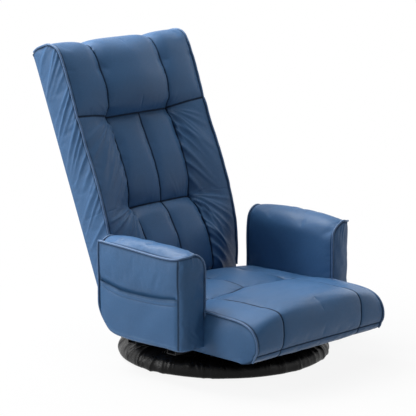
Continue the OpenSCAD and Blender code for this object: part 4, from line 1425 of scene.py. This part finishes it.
    def _sink(self, x: Points, at: Points, z: Points, past: Points) -> Points:
        """Finds how far the sewn lines draw the skin in."""
        taut = np.where(at > self.high_seam + 1, 0.5, 1.0)[:, None]
        line = np.abs(x) - self.seam_x
        seams = self.long_seam.sink(line)[None] + taut * self.long_fall.sink(line)[None]
        below = np.clip(self.high_seam - at, 0, 1)[:, None]
        middle = self.middle_seam.sink(x)[None] * below
        inner = np.clip(1 - past * 9, 0, 1)[None]
        low_z, high_z = self.side_path[self.low_seam][1], self.side_path[self.high_seam][1]
        low = inner * self.low_cross.sink(z - low_z)
        wide = np.maximum(inner, 0.30)
        high = wide * self.high_cross.sink(z - high_z)
        tufts = np.zeros_like(z)
        for at_z, depth in ((low_z, 0.0068), (high_z, 0.0032)):
            r = np.hypot(np.abs(x)[None] - self.seam_x, z - at_z)
            tufts += depth * np.exp(-((r / 0.026) ** 1.4))
        edge = self.side_seam.sink(self.half - np.abs(x))[None]
        fade = np.clip((23.5 - at) / 2.5, 0, 1)[:, None]
        notch = 0.0060 * np.exp(-((line / 0.019) ** 2))[None] * np.clip((at - 16.5) / 2.5, 0, 1)[:, None]
        return (seams + middle + low + high + tufts + edge + notch) * fade

    def build(self) -> None:
        """Makes the cushion and its piping."""
        x = graded(-self.half, self.half, STEP, (-self.half, -self.seam_x, 0.0, self.seam_x, self.half))
        at = self._stations()
        self.columns = seam_columns(x, self.seam_x)
        self.low_row, self.high_row = nearest(at, self.low_seam), nearest(at, self.high_seam)
        shell = self._shell(x, self.skin(x, at))
        cushion = shell.build("back_cushion_cover")
        upholstered(cushion, self._held(shell), Stuffing(3.5, 0.004, 0.006), self._wrinkles)
        lines = [shell.line("front", ALL, self.columns[key]) for key in ("left", "right")]
        lines.append(shell.line("front", slice(0, self.high_row + 1), self.columns["middle"]))
        lines += [shell.line("front", self.low_row, self._channels()), shell.line("front", self.high_row)]
        mark_sewn(cushion, lines, 0.0033, [shell.line("front", ALL, column) for column in (0, -1)], 0.0060)
        cords = [lean(shell.line("front", slice(2, -1), column, 0.0020)) for column in (0, -1)]
        move_to(cushion, lean(places_of(cushion)))
        self.shop.cover(cushion, "back", "back_cushion")
        self.shop.trim("back_piping", cords, "back", 0.0029)

    def _channels(self) -> slice:
        """The columns of the two middle channels, which the lower cross seam spans."""
        return slice(self.columns["left"], self.columns["right"] + 1)

    def _shell(self, x: Points, path: Points) -> Shell:
        """Closes the front with the hollow rear, the foot and two slightly full sides."""
        shell = Shell()
        shell.add("front", path)
        share = np.linspace(0, 1, len(path))[:, None]
        z = self.foot + (path[-1, :, 2] - self.foot) * share
        xr = np.broadcast_to(x, z.shape)
        hollow = (np.abs(xr) < self.recess_half) & (z < self.recess_top)
        y = np.where(hollow, self.recess, self.rear)
        y[-1] = path[-1, :, 1]
        rear = np.stack([xr, y, z], axis=-1)
        shell.add("rear", rear, turned=True)
        shell.add("foot", ruled(rear[0], path[0], np.linspace(0, 1, 9)).swapaxes(0, 1))
        rungs = graded(0.0, 1.0, 0.06, (0.0,), (0.022, 0.045))
        belly = np.sin(math.pi * np.clip(rungs * 1.02, 0, 1)) ** 0.7 * 0.0030
        for column, side in ((0, -1), (-1, 1)):
            grid = ruled(path[:, column], rear[:, column], rungs)
            grid[..., 0] += side * belly
            shell.add(f"side{side}", grid, turned=side < 0)
        return shell

    def _held(self, shell: Shell) -> Points:
        """Holds the rear, the foot, the piped edges and the sewn lines."""
        held = np.zeros(len(shell.piece.data.vertices))
        for key in ("rear", "foot"):
            held[np.unique(shell.index[key])] = 1
        front = shell.index["front"]
        for column in (0, -1, self.columns["left"], self.columns["right"]):
            held[front[:, column]] = 1
        held[front[:self.high_row + 1, self.columns["middle"]]] = 1
        held[front[self.low_row, self._channels()]] = 1
        held[front[self.high_row]] = 1
        held[front[-3:]] = 1
        return held

    def _stations(self) -> Points:
        """Spreads the rows so that they lie closer beside the two cross seams."""
        marks: list[float] = []
        lengths = [math.dist(a, b) for a, b in zip(self.middle_path, self.middle_path[1:])]
        for k, length in enumerate(lengths):
            count = max(2, round(length / STEP))
            marks += [k + i / count for i in range(count)]
        marks.append(float(len(lengths)))
        for seam in (self.low_seam, self.high_seam):
            above, below = lengths[seam], lengths[seam - 1]
            for d in (0.001, 0.0026, 0.0052):
                marks += [seam + d / above, seam - d / below]
        marks = sorted(marks)
        kept = [marks[0]]
        for m in marks[1:]:
            if m - kept[-1] > 0.02:
                kept.append(m)
        for seam in (self.low_seam, self.high_seam):
            kept[nearest(np.array(kept), seam)] = float(seam)
        return np.array(kept)

    def _wrinkles(self, p: Points, n: Points) -> Points:
        """Finds the gathers at the tufts, the slanting folds of the sides and the slow unevenness."""
        x, y, z = p.T
        lift = 0.0007 * wobble(p, 0.10, 5)
        facing = np.clip(-n[:, 1] * 2 - 0.2, 0, 1)
        between = facing * np.clip((self.seam_x - np.abs(x) - 0.003) / 0.008, 0, 1)
        for fan in self.puckers():
            lift = lift + between * (z > fan.up + 0.0405) * fan.lift(x, z)
        beside = np.clip((np.abs(x) - self.seam_x + 0.002) / 0.006, 0, 1)
        edge = np.clip((self.half - np.abs(x)) / 0.012, 0, 1)
        for side in (-1, 1):
            here = (np.sign(x) == side) * facing * beside * edge
            for fan in self.fans(side):
                lift = lift + here * fan.lift(np.abs(x), z)
            for pull in self.pulls(side):
                lift = lift + here * pull.lift(np.abs(x) - self.seam_x, z)
            sideways = np.clip(n[:, 0] * side * 2.5 - 1.2, 0, 1) * (np.sign(x) == side)
            line = smooth(z, [(v, u) for u, v in self.side_path[:20]])
            inwards = y - line
            taper = np.clip(inwards / 0.006, 0, 1) * np.clip((0.012 - y) / 0.012, 0, 1)
            fold = Streaks(0.02, 0.74, 0.030, -1.10, 0.090, 0.0062, 21 + side)
            lift = lift + sideways * taper * fold.lift(inwards, z)
        rear = np.clip((self.rear - 0.002 - y) / 0.006, 0, 1)
        return lift * rear


@dataclass
class RearPanel:
    """The plain cover over the back's rear, with a sewn border."""

    shop: Workshop
    half: float = 0.225
    low: float = 0.042
    high: float = 0.7115
    face: float = 0.0172
    thick: float = 0.0018

    def build(self) -> None:
        """Makes the panel and its border of stitches."""
        x = graded(-self.half, self.half, 0.008)
        z = graded(self.low, self.high, 0.008)
        zz, xx = np.meshgrid(z, x, indexing="ij")
        flat = np.stack([xx, zz], axis=-1)
        rim = np.minimum(np.minimum(self.half - np.abs(xx), zz - self.low), self.high - zz)
        belly = 0.0035 * (1 - np.exp(-rim / 0.05))
        corners = ((-1, self.low, 45), (1, self.low, 135), (1, self.high, -135), (-1, self.high, -45))
        pulls = sum(Fan(side * self.half, up, turn - 42, turn + 42, 5, 0.17, 0.0013, 141 + k).lift(xx, zz)
                    for k, (side, up, turn) in enumerate(corners))
        y = self.face + belly * 0.6 + (0.0009 * wobble(flat, 0.12, 71) + pulls) * np.clip(rim / 0.02, 0, 1)
        grid = np.stack([xx, y, zz], axis=-1)
        panel, shell = slab("back_rear_cover", grid, self.thick)
        run, inset = slice(2, -2), (2, -3)
        rows = [shell.line("outer", run, column) for column in inset]
        rows += [shell.line("outer", row, run) for row in inset]
        # painted shade: darker lines along the border's rows of stitches, stored as the 'sewn' attribute
        mark(panel, "sewn", 0.7 * closeness(places_of(panel), rows, 0.0020))
        rows = [lean(r + np.array([0, THREAD_LIFT, 0])) for r in rows]
        move_to(panel, lean(places_of(panel)))
        self.shop.cover(panel, "back", "back_rear_panel")
        self.shop.sew("back_rear_stitches", rows, "back")


# ---------------------------------------------------------------- arms


@dataclass
class Arm:
    """One arm: a padded wall with a rounded top, a front cap and an outer pocket."""

    shop: Workshop
    side: Side
    inner: float = 0.238
    outer: float = 0.315
    front: float = -0.167
    rear: float = 0.140
    corner: float = 0.024
    cap_seam: float = -0.146
    pocket_front: float = -0.1455
    pocket_rear: float = 0.1375
    pocket_high: float = 0.135
    pocket_wide: float = 0.2805
    outside: float = 0.30
    hem: float = 0.86
    count: tuple[int, int, int, int] = (34, 26, 40, 14)
    crest: Pairs = ((-0.167, 0.336), (-0.152, 0.338), (-0.117, 0.3425), (-0.063, 0.346), (-0.010, 0.3475),
                    (0.064, 0.345), (0.120, 0.339), (0.140, 0.334))
    foot: Pairs = ((-0.167, 0.093), (-0.155, 0.089), (-0.10, 0.088), (0.061, 0.0875), (0.087, 0.090),
                   (0.106, 0.097), (0.120, 0.111), (0.130, 0.124), (0.137, 0.140), (0.140, 0.158))
    edge: Pairs = ((-0.167, 0.3335), (-0.155, 0.3285), (-0.140, 0.3240), (-0.087, 0.3205), (-0.03, 0.3225),
                   (0.05, 0.326), (0.140, 0.329))
    mouth: Pairs = ((-0.146, 0.2235), (-0.086, 0.2155), (-0.014, 0.212), (0.060, 0.2135), (0.097, 0.220),
                    (0.136, 0.227))
    rolled: Pairs = ((0.0, -0.075), (0.004, -0.045), (0.05, -0.022), (0.18, -0.009), (0.36, -0.0015),
                     (0.52, 0.0), (0.68, -0.004), (0.82, -0.0105))
    capped: Pairs = ((0.0, -0.075), (0.0, -0.046), (0.06, -0.030), (0.22, -0.018), (0.42, -0.0095),
                     (0.60, -0.005), (0.76, -0.0025), (0.90, -0.0010))
    cap_crease: Seam = Seam(0.0011, 0.0022, 0.0008, 0.012)
    hem_crease: Seam = Seam(0.0007, 0.018)

    @property
    def edge_at(self) -> int:
        """The column of the top's outer edge."""
        return self.count[0] + self.count[1] - 2

    @property
    def foot_at(self) -> int:
        """The column of the outer foot."""
        return self.edge_at + self.count[2] - 1

    def outline(self, y: float) -> Points:
        """Finds one ring of the arm across its length, from the inner foot over the top to the outer foot.

        The numbers in count are those of its points up the inside, over the top, down the outside and under.

        Args:
            y: Place along the arm.

        Returns:
            Points of (x, z).
        """
        lines = (self.crest, self.foot, self.edge)
        top, low, edge = (float(smooth(np.array([y]), line)[0]) for line in lines)
        near = max(0.0, self.corner - (y - self.front))
        pull = self.corner - math.sqrt(max(0.0, self.corner**2 - near**2))
        outer = self.outer - 0.0008 - pull
        wide = outer - self.inner
        fore = float(np.clip(1 - (y - self.front) / 0.035, 0, 1)) ** 2
        roll = (np.array(self.rolled) * (1 - fore) + np.array(self.capped) * fore).tolist()
        a = np.linspace(0, 1, self.count[0])
        inside = np.stack([np.full_like(a, self.inner), low + (top + self.rolled[0][1] - low) * a], axis=-1)
        t = np.linspace(0, 1, self.count[1])
        knots = [(self.inner + wide * u, top + v) for u, v in roll] + [(outer, edge)]
        over = stations(t * (len(knots) - 1), knots)
        b = np.linspace(0, 1, self.count[2])
        height = edge + (low + 0.006 - edge) * b
        outside = np.stack([np.full_like(b, outer), height], axis=-1)
        c = np.linspace(0, 1, self.count[3])
        under = np.stack([outer + (self.inner - outer) * c, np.full_like(c, low)], axis=-1)
        under[0] = outside[-1]
        return np.concatenate([inside[:-1], over[:-1], outside[:-1], under])

    def build(self) -> None:
        """Makes the pad, its caps, its pocket, its piping and its stitches."""
        y = graded(self.front, self.rear, 0.006, (self.front + self.corner,), (0.004,))
        y = np.unique(np.concatenate([y, self.front + np.array([0.001, 0.003, 0.006, 0.010, 0.015, 0.020])]))
        rings = []
        for at in y:
            ring = self.outline(at)
            rings.append(np.stack([ring[:, 0], np.full(len(ring), at), ring[:, 1]], axis=-1))
        sign, word = self.side.value, self.side.word
        rings = self._sunk(np.stack(rings)) * np.array([sign, 1, 1])
        shell = Shell()
        shell.add("wall", rings)
        for key, row in (("front", 0), ("rear", -1)):
            shell.add(key, self._cap(rings[row], key))
        pad = shell.build(f"arm_cover_{word}")
        upholstered(pad, self._held(shell), Stuffing(3.0, 0.005, 0.005), self._wrinkles)
        seam_row = nearest(y, self.cap_seam)
        seam = shell.line("wall", seam_row, slice(self.edge_at, self.foot_at + 1))
        edges = [shell.line("wall", ALL, self.edge_at), shell.line("wall", 0, slice(4, self.edge_at + 1)),
                 shell.line("wall", -1, slice(1, self.foot_at + 1))]
        mark_sewn(pad, [seam], 0.0027, edges, 0.0056)
        self.shop.cover(pad, "seat", f"arm_pad_{word}")
        self._trim(shell)
        beside = shell.line("wall", seam_row - 1, slice(self.edge_at + 2, self.foot_at - 1))
        self._pocket(beside + np.array([sign * THREAD_LIFT, 0, 0]))

    def _sunk(self, rings: Points) -> Points:
        """Sinks the outer face behind the pocket and draws in the cap's seam."""
        y, z = rings[..., 1], rings[..., 2]
        mouth = smooth(y, self.mouth)
        outside = np.zeros(rings.shape[1], bool)
        outside[self.edge_at + 1:self.foot_at + 2] = True
        depth = 0.0062 * np.clip((mouth + 0.012 - z) / 0.010, 0, 1)
        depth *= np.clip((y + 0.1415) / 0.004, 0, 1) * np.clip((0.1345 - y) / 0.004, 0, 1)
        depth *= np.clip((z - smooth(y, self.foot) - 0.012) / 0.006, 0, 1)
        depth += self.cap_crease.sink(y - self.cap_seam)
        rings[..., 0] -= np.where(outside, depth, 0)
        return rings

    def _cap(self, ring: Points, key: str) -> Points:
        """Closes one end with a grid between the ring's two halves."""
        start = self.count[0] - 1 + (self.count[1] - 1) // 2
        loop = ring[:-1]
        half = len(loop) // 2
        step = np.arange(half + 1)
        first = loop[(start - step) % len(loop)]
        if len(loop) % 2:
            step[-1] += 1
        second = loop[(start + step) % len(loop)]
        share = np.linspace(0, 1, 15)
        grid = ruled(first, second, share)
        down = np.sin(math.pi * np.linspace(0, 1, half + 1))[:, None] ** 0.5
        swell = np.sin(math.pi * share) * down
        grid[..., 1] += (-1 if key == "front" else 1) * 0.0045 * swell
        return grid

    def _held(self, shell: Shell) -> Points:
        """Holds the arm's edges, its foot and the face behind the pocket."""
        places = places_of(shell.piece)
        held = np.zeros(len(places))
        wall = shell.index["wall"]
        for part in (wall[0], wall[-1], wall[:, 0], wall[:, self.edge_at], wall[:, self.foot_at:]):
            held[part] = 1
        x, y, z = np.abs(places[:, 0]), places[:, 1], places[:, 2]
        held[(x > self.outside) & (z < smooth(y, self.mouth) + 0.02) & (y > -0.150)] = 1
        return held

    def _wrinkles(self, p: Points, n: Points) -> Points:
        """Finds the puckers under the cap's piping and the slow unevenness."""
        x, y, z = np.abs(p[:, 0]), p[:, 1], p[:, 2]
        lift = 0.0006 * wobble(p, 0.08, 81 + self.side.value)
        up = np.clip(n[:, 2], 0, 1)
        front = np.clip(-n[:, 1] * 1.5 - 0.3, 0, 1)
        pucker = Streaks(0.235, 0.33, 0.012, -0.35, 0.045, 0.0026, 91 + self.side.value)
        lift = lift + front * pucker.lift(0.335 - z, x)
        corner = Fan(0.285, -0.168, 30, 150, 6, 0.050, 0.0022, 95 + self.side.value)
        lift = lift + up * corner.lift(x, y)
        low = np.clip((z - 0.10) / 0.02, 0, 1)
        behind = (x > self.outside) & (z < smooth(y, self.mouth) + 0.016) & (y > self.cap_seam)
        return lift * low * ~behind

    def _trim(self, shell: Shell) -> None:
        """Lays the piping along the top's outer edge, round the cap and down the rear edge."""
        edge, foot, lift = self.edge_at, self.foot_at, 0.0017
        front = np.concatenate([shell.line("wall", 0, slice(4, edge + 1), lift),
                                shell.line("wall", slice(1, None), edge, lift)])
        under = shell.line("wall", slice(-2, -7, -1), foot, lift)
        under += (np.array([0, -0.02, 0.03]) - under) * np.linspace(0, 0.03, len(under))[:, None]
        rear = np.concatenate([shell.line("wall", -1, slice(edge, foot + 1), lift), under])
        over = shell.line("wall", -1, slice(1, edge + 1), lift)
        self.shop.trim(f"arm_piping_{self.side.word}", [front, rear, over], "seat")

    def _pocket(self, beside: Points) -> None:
        """Makes the pocket's panel with its turned hem, and sews its stitches.

        Args:
            beside: The row of stitches beside the cap's seam, sewn with them.
        """
        sign, word = self.side.value, self.side.word
        ends = (self.pocket_front, self.pocket_rear)
        y = graded(*ends, 0.006, ends, (0.002, 0.004))
        mouth = smooth(y, self.mouth)
        foot = np.maximum(smooth(y, self.foot) + 0.010, 0.098)
        rows = graded(0.0, 1.0, 0.045, (self.hem,), (0.012, 0.03))
        rim = np.minimum(y - ends[0], ends[1] - y)
        share = rows[:, None]
        z = foot + (mouth - foot) * share
        yy = np.broadcast_to(y, z.shape)
        slack = np.clip(rim / 0.03, 0, 1) ** 0.6
        belly = 0.0022 * np.sin(math.pi * np.clip(share * 0.9, 0, 1)) * slack
        hem = 0.0005 * (share > self.hem + 0.01) - self.hem_crease.sink(share - self.hem)
        flat = np.stack([yy, z], axis=-1)
        tuck = 0.0022 * np.exp(-((rim / 0.004) ** 2))
        uneven = 0.0005 * wobble(flat, 0.07, 99 + sign) * slack
        x = self.outer - 0.0006 - tuck + belly + hem * np.clip(rim / 0.01, 0, 1) + uneven
        grid = np.stack([sign * x, yy, z], axis=-1)
        panel, shell = slab(f"arm_pocket_panel_{word}", grid if sign < 0 else grid[:, ::-1], 0.0014, 0.6)
        panel.data.set_sharp_from_angle(angle=math.radians(50))
        # painted shade: the mouth's top edge is darkened as if it lay in the shadow of the gap, stored as the
        # 'sewn' attribute
        mouth_edge = [shell.line("high", 0), shell.line("high", 1)]
        mark(panel, "sewn", 0.6 * closeness(places_of(panel), mouth_edge, 0.0013))
        self.shop.cover(panel, "seat", f"arm_pocket_{word}")
        raised = np.array([sign * THREAD_LIFT, 0, 0])
        sewn = (nearest(rows, self.hem), len(rows) - 2)
        lines = [shell.line("outer", row, slice(1, -1)) + raised for row in sewn]
        self.shop.sew(f"arm_pocket_stitches_{word}", [*lines, beside], "seat")


# ---------------------------------------------------------------- base


def spun(r: Points, z: Points, turns: int) -> Points:
    """Turns rows of (r, z) into a grid that runs round the swivel axis and meets itself.

    Args:
        r: Distances from the axis, in rows, for one column or for all of them.
        z: Heights, alike.
        turns: Number of faces round.

    Returns:
        The grid.
    """
    a = np.linspace(0, 2 * math.pi, turns + 1)
    grid = np.stack(np.broadcast_arrays(r * np.cos(a), r * np.sin(a), z + 0 * a), axis=-1)
    grid[:, -1] = grid[:, 0]
    return grid


@dataclass
class Base:
    """The round base: its padding, its gathered cover and the felt under it."""

    shop: Workshop
    outer: float = 0.277
    wide_h: float = 0.012
    rim_h: float = 0.049
    collar: float = 0.10625
    collar_h: float = 0.054
    hem_r: float = 0.242
    hem_h: float = 0.0024
    board: float = 0.262
    gathers: int = 46

    def profile(self, inset: float) -> Points:
        """Finds the cover's line from the hem under the base, round the rim, to the collar.

        Args:
            inset: Distance inside the cover's outer face.

        Returns:
            Points of (r, z).
        """
        low = [(self.board + (self.outer - inset - self.board) * math.cos(math.radians(a)),
                self.wide_h + (self.wide_h - self.hem_h - inset) * math.sin(math.radians(a)))
               for a in range(-90, 0, 10)]
        inner = self.outer - self.rim_h
        high = [(inner + (self.outer - inset - inner) * math.cos(math.radians(a)),
                 self.wide_h + (self.rim_h - self.wide_h - inset) * math.sin(math.radians(a)) ** 0.8)
                for a in range(0, 91, 6)]
        rise = self.collar_h - self.rim_h
        top = [(r, self.rim_h - inset + rise * ((inner - r) / (inner - self.collar)) ** 1.5)
               for r in np.linspace(inner, self.collar, 14)[1:]]
        return np.array([(self.hem_r, self.hem_h + inset)] + low + high + top)

    def build(self) -> None:
        """Makes the cover, the padding and the felt."""
        self._cover()
        self._padding()
        self._felt()

    def _cover(self) -> None:
        """Makes the gathered cover."""
        turns, thick = 720, 0.0010
        a = np.linspace(0, 2 * math.pi, turns + 1)
        line = self.profile(0.0)
        length = np.concatenate([[0], np.cumsum(np.linalg.norm(np.diff(line, axis=0), axis=1))])
        at = np.linspace(0, length[-1], 64)
        r0, z0 = np.interp(at, length, line[:, 0]), np.interp(at, length, line[:, 1])
        rng = np.random.default_rng(7)
        folds = np.zeros((len(at), len(a)))
        share = at / length[-1]
        creases = ((0.06, 0.2, (0.3, 0.8), (0.008, 0.017)), (0.08, 0.5, (0.15, 0.45), (0.006, 0.012)))
        for k in range(self.gathers):
            centre = (k + rng.uniform(-0.4, 0.4)) * 2 * math.pi / self.gathers
            width = rng.uniform(0.018, 0.055)
            drift = rng.uniform(-0.10, 0.10)
            start, stop = rng.uniform(0.02, 0.25), rng.uniform(0.45, 0.95)
            spread = ((a[None] - centre - drift * (share[:, None] - 0.3) + math.pi) % (2 * math.pi)) - math.pi
            run = np.clip((share - start) / 0.12, 0, 1) * np.clip((stop - share) / 0.25, 0, 1)
            folds += rng.uniform(0.4, 1.0) * np.exp(-(spread / width) ** 2) * run[:, None]
            for aside, slant, height, thin in creases:
                fine = (spread + rng.uniform(-aside, aside)
                        + rng.uniform(-slant, slant) * (share[:, None] - 0.4))
                folds += rng.uniform(*height) * np.exp(-(fine / rng.uniform(*thin)) ** 2) * run[:, None]
        slope = np.stack([np.gradient(r0, at), np.gradient(z0, at)], axis=-1)
        out = np.stack([slope[:, 1], -slope[:, 0]], axis=-1)
        lift = 0.0030 * folds - 0.0012
        edge = np.clip(share / 0.05, 0, 1) * np.clip((1 - share) / 0.05, 0, 1)
        r = r0[:, None] + out[:, :1] * lift * edge[:, None]
        z = z0[:, None] + out[:, 1:] * lift * edge[:, None]
        z = np.maximum(z, 0.0012)
        shell = Shell()
        under = spun(r - out[:, :1] * thick, z - out[:, 1:] * thick, turns)
        shell.close(spun(r, z, turns), under, ends=False)
        cover = shell.build("base_gathered_cover")
        self.shop.dress(cover, "base", "black_cover", ["base_cover"])

    def _padding(self) -> None:
        """Makes the foam ring under the cover."""
        line = self.profile(0.0052)[1:]
        stop = int(np.argmax(line[:, 0] < 0.128))
        line = line[3:stop]
        back = [(0.1270, 0.0465), (0.1270, 0.0210), (0.200, 0.0195), (0.2626, 0.0195), (0.2626, 0.0085)]
        loop = np.array(list(map(tuple, line)) + back + [tuple(line[0])])
        grid = spun(loop[:, :1], loop[:, 1:], 160)
        soft = 0.0004 * wobble(grid, 0.03, 17)
        soft[-1], soft[:, -1] = soft[0], soft[:, 0]
        grid[..., 2] -= np.abs(soft)
        shell = Shell()
        shell.add("ring", grid)
        foam = shell.build("base_foam_ring")
        self.shop.dress(foam, "base", "foam", ["base_padding"])

    def _felt(self) -> None:
        """Makes the felt disc with a soft edge."""
        low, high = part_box("floor_felt")
        r, top = high.x, high.z
        line = np.array([(0.0, low.z), (r * 0.5, low.z), (r - 0.0016, low.z), (r - 0.0004, low.z + 0.0009),
                         (r, top / 2), (r - 0.0005, top - 0.0008), (r - 0.0016, top), (r * 0.5, top),
                         (0.0, top)])
        shell = Shell()
        shell.add("disc", spun(line[:, :1], line[:, 1:], 144))
        felt = shell.build("felt_disc")
        self.shop.dress(felt, "base", "felt", ["floor_felt"])


# ---------------------------------------------------------------- under the seat


@dataclass
class Underside:
    """The three thin cloths that close the seat frame from below."""

    shop: Workshop

    def build(self) -> None:
        """Makes the cloths where the CAD has them, each with a slight sag."""
        low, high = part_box("underside_cloth")
        gap, bar = 0.0153, 0.072
        spans = [(low.y, -bar - gap), (-bar + gap, bar - gap), (bar + gap, high.y)]
        shells = Shell()
        for number, (start, stop) in enumerate(spans):
            x = graded(low.x, high.x, 0.012)
            y = graded(start, stop, 0.012)
            yy, xx = np.meshgrid(y, x, indexing="ij")
            rim = np.minimum(np.minimum(high.x - np.abs(xx), yy - start), stop - yy)
            uneven = wobble(np.stack([xx, yy], axis=-1), 0.05, 5 + number)
            dip = 0.0025 * (1 - np.exp(-rim / 0.03)) + 0.0006 * uneven
            z = low.z + 0.0002 - np.clip(dip, 0, 0.004) * np.clip(rim / 0.02, 0, 1)
            lower = np.stack([xx, yy, z], axis=-1)
            upper = lower + np.array([0, 0, 0.0007])
            shells.close(upper, lower, str(number))
        cloth = shells.build("underside_cloths")
        self.shop.dress(cloth, "seat", "black_lining", ["underside_cloth"])


# ---------------------------------------------------------------- carried nodes, room and camera


class CarriedNodes:
    """The CAD nodes that stay in sight, each with its slot's finish."""

    def __init__(self, finishes: Finishes) -> None:
        """Takes the finishes."""
        self.finishes = finishes

    def dress(self) -> None:
        """Gives every node its material."""
        slots = {row["node"]: row["material_slot"] for row in frame["record"]["subparts"]}
        for name, node in frame["nodes"].items():
            node.data.materials.clear()
            node.data.materials.append(self.finishes.slots[slots[name]])
        LOG.info("%d nodes dressed", len(slots))


@dataclass(frozen=True)
class Lamp:
    """One soft lamp, aimed at the chair."""

    name: str
    place: tuple[float, float, float]
    size: float
    power: float
    aim: tuple[float, float, float] = (0.0, 0.05, 0.35)

    def build(self) -> None:
        """Hangs the lamp."""
        data = bpy.data.lights.new(self.name, "AREA")
        data.shape = "DISK"
        data.size = self.size
        data.energy = self.power
        lamp = bpy.data.objects.new(self.name, data)
        bpy.context.scene.collection.objects.link(lamp)
        lamp.location = self.place
        way = Vector(self.aim) - Vector(self.place)
        lamp.rotation_euler = way.to_track_quat("-Z", "Y").to_euler()


@dataclass
class Studio:
    """The pale floor, the lamps, the world and the camera."""

    lamps: list[Lamp] = field(default_factory=lambda: [
        Lamp("rear_lamp", (-0.5, 1.9, 2.9), 1.6, 118),
        Lamp("rear_left_lamp", (-2.4, 1.9, 1.5), 1.5, 69),
        Lamp("top_lamp", (0.2, 0.45, 3.1), 2.2, 46),
        Lamp("right_lamp", (2.8, 0.6, 1.6), 1.8, 11),
        Lamp("front_right_lamp", (1.6, -2.6, 1.2), 1.8, 10),
    ])
    ambient: float = 0.02
    lens: float = 189.16
    place: tuple[float, float, float] = (-3.98603, -3.87360, 1.55314)
    turn: float = 45.4
    rise: float = 11.85

    def build(self) -> None:
        """Sets up everything round the chair."""
        for lamp in self.lamps:
            lamp.build()
        self._floor()
        self._world()
        self._camera()
        bpy.context.scene.view_settings.view_transform = "Standard"

    def _white(self, m: TreeMaker) -> Socket:
        """Makes a mask of the rays that see the plain background."""
        rays = m.add("ShaderNodeLightPath")
        seen = m.math("MAXIMUM", rays.outputs["Is Camera Ray"], rays.outputs["Is Glossy Ray"])
        return m.math("MAXIMUM", seen, rays.outputs["Is Transmission Ray"])

    def _floor(self) -> None:
        """Makes the floor, which keeps the chair's shadow."""
        mesh = bpy.data.meshes.new("studio_floor")
        half, drop = 30, -0.0006
        corners = [(-half, -half, drop), (half, -half, drop), (half, half, drop), (-half, half, drop)]
        mesh.from_pydata(corners, [], [(0, 1, 2, 3)])
        floor = new_piece("studio_floor", mesh)
        material = bpy.data.materials.new("pale_floor")
        material.use_nodes = True
        m = TreeMaker(material.node_tree)
        shader = material.node_tree.nodes["Principled BSDF"]
        shader.inputs["Base Color"].default_value = (0.60, 0.60, 0.60, 1)
        shader.inputs["Roughness"].default_value = 0.95
        shader.inputs["Specular IOR Level"].default_value = 0.1
        glow = m.add("ShaderNodeEmission", {"Color": WHITE, "Strength": 1.0})
        where = m.add("ShaderNodeTexCoord").outputs["Object"]
        away = m.add("ShaderNodeVectorMath", {0: where}, operation="LENGTH").outputs["Value"]
        share = m.math("MULTIPLY", self._white(m), m.span(away, 0.40, 0.95, 0.90, 1.0))
        blend = m.add("ShaderNodeMixShader", {0: share, 1: shader.outputs[0], 2: glow.outputs[0]})
        m.tree.links.new(blend.outputs[0], material.node_tree.nodes["Material Output"].inputs["Surface"])
        mesh.materials.append(material)

    def _world(self) -> None:
        """Makes the plain white room."""
        world = bpy.data.worlds.new("studio")
        bpy.context.scene.world = world
        world.use_nodes = True
        m = TreeMaker(world.node_tree)
        background = world.node_tree.nodes["Background"]
        background.inputs["Color"].default_value = WHITE
        m.tree.links.new(m.span(self._white(m), 0.0, 1.0, self.ambient, 1.0), background.inputs["Strength"])

    def _camera(self) -> None:
        """Places the camera where the photograph was taken from."""
        data = bpy.data.cameras.new("camera")
        data.sensor_width = 36.0
        data.lens = self.lens
        data.clip_end = 100
        camera = bpy.data.objects.new("camera", data)
        bpy.context.scene.collection.objects.link(camera)
        turn, rise = math.radians(self.turn), math.radians(self.rise)
        back = Vector((-math.sin(turn) * math.cos(rise), -math.cos(turn) * math.cos(rise), math.sin(rise)))
        right = Vector((math.cos(turn), -math.sin(turn), 0))
        up = back.cross(right)
        camera.matrix_world = Matrix.Translation(self.place) @ Matrix((right, up, back)).transposed().to_4x4()
        bpy.context.scene.camera = camera


def main() -> None:
    """Builds the chair's pieces in order, then the room round it."""
    logging.basicConfig(level=logging.INFO, format="%(name)s: %(message)s")
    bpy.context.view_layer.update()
    finishes = Finishes()
    shop = Workshop(finishes, PathDresser())
    CarriedNodes(finishes).dress()
    Base(shop).build()
    Underside(shop).build()
    SeatCushion(shop).build()
    BackCushion(shop).build()
    RearPanel(shop).build()
    for side in Side:
        Arm(shop, side).build()
    Studio().build()


if __name__ == "__main__":
    main()
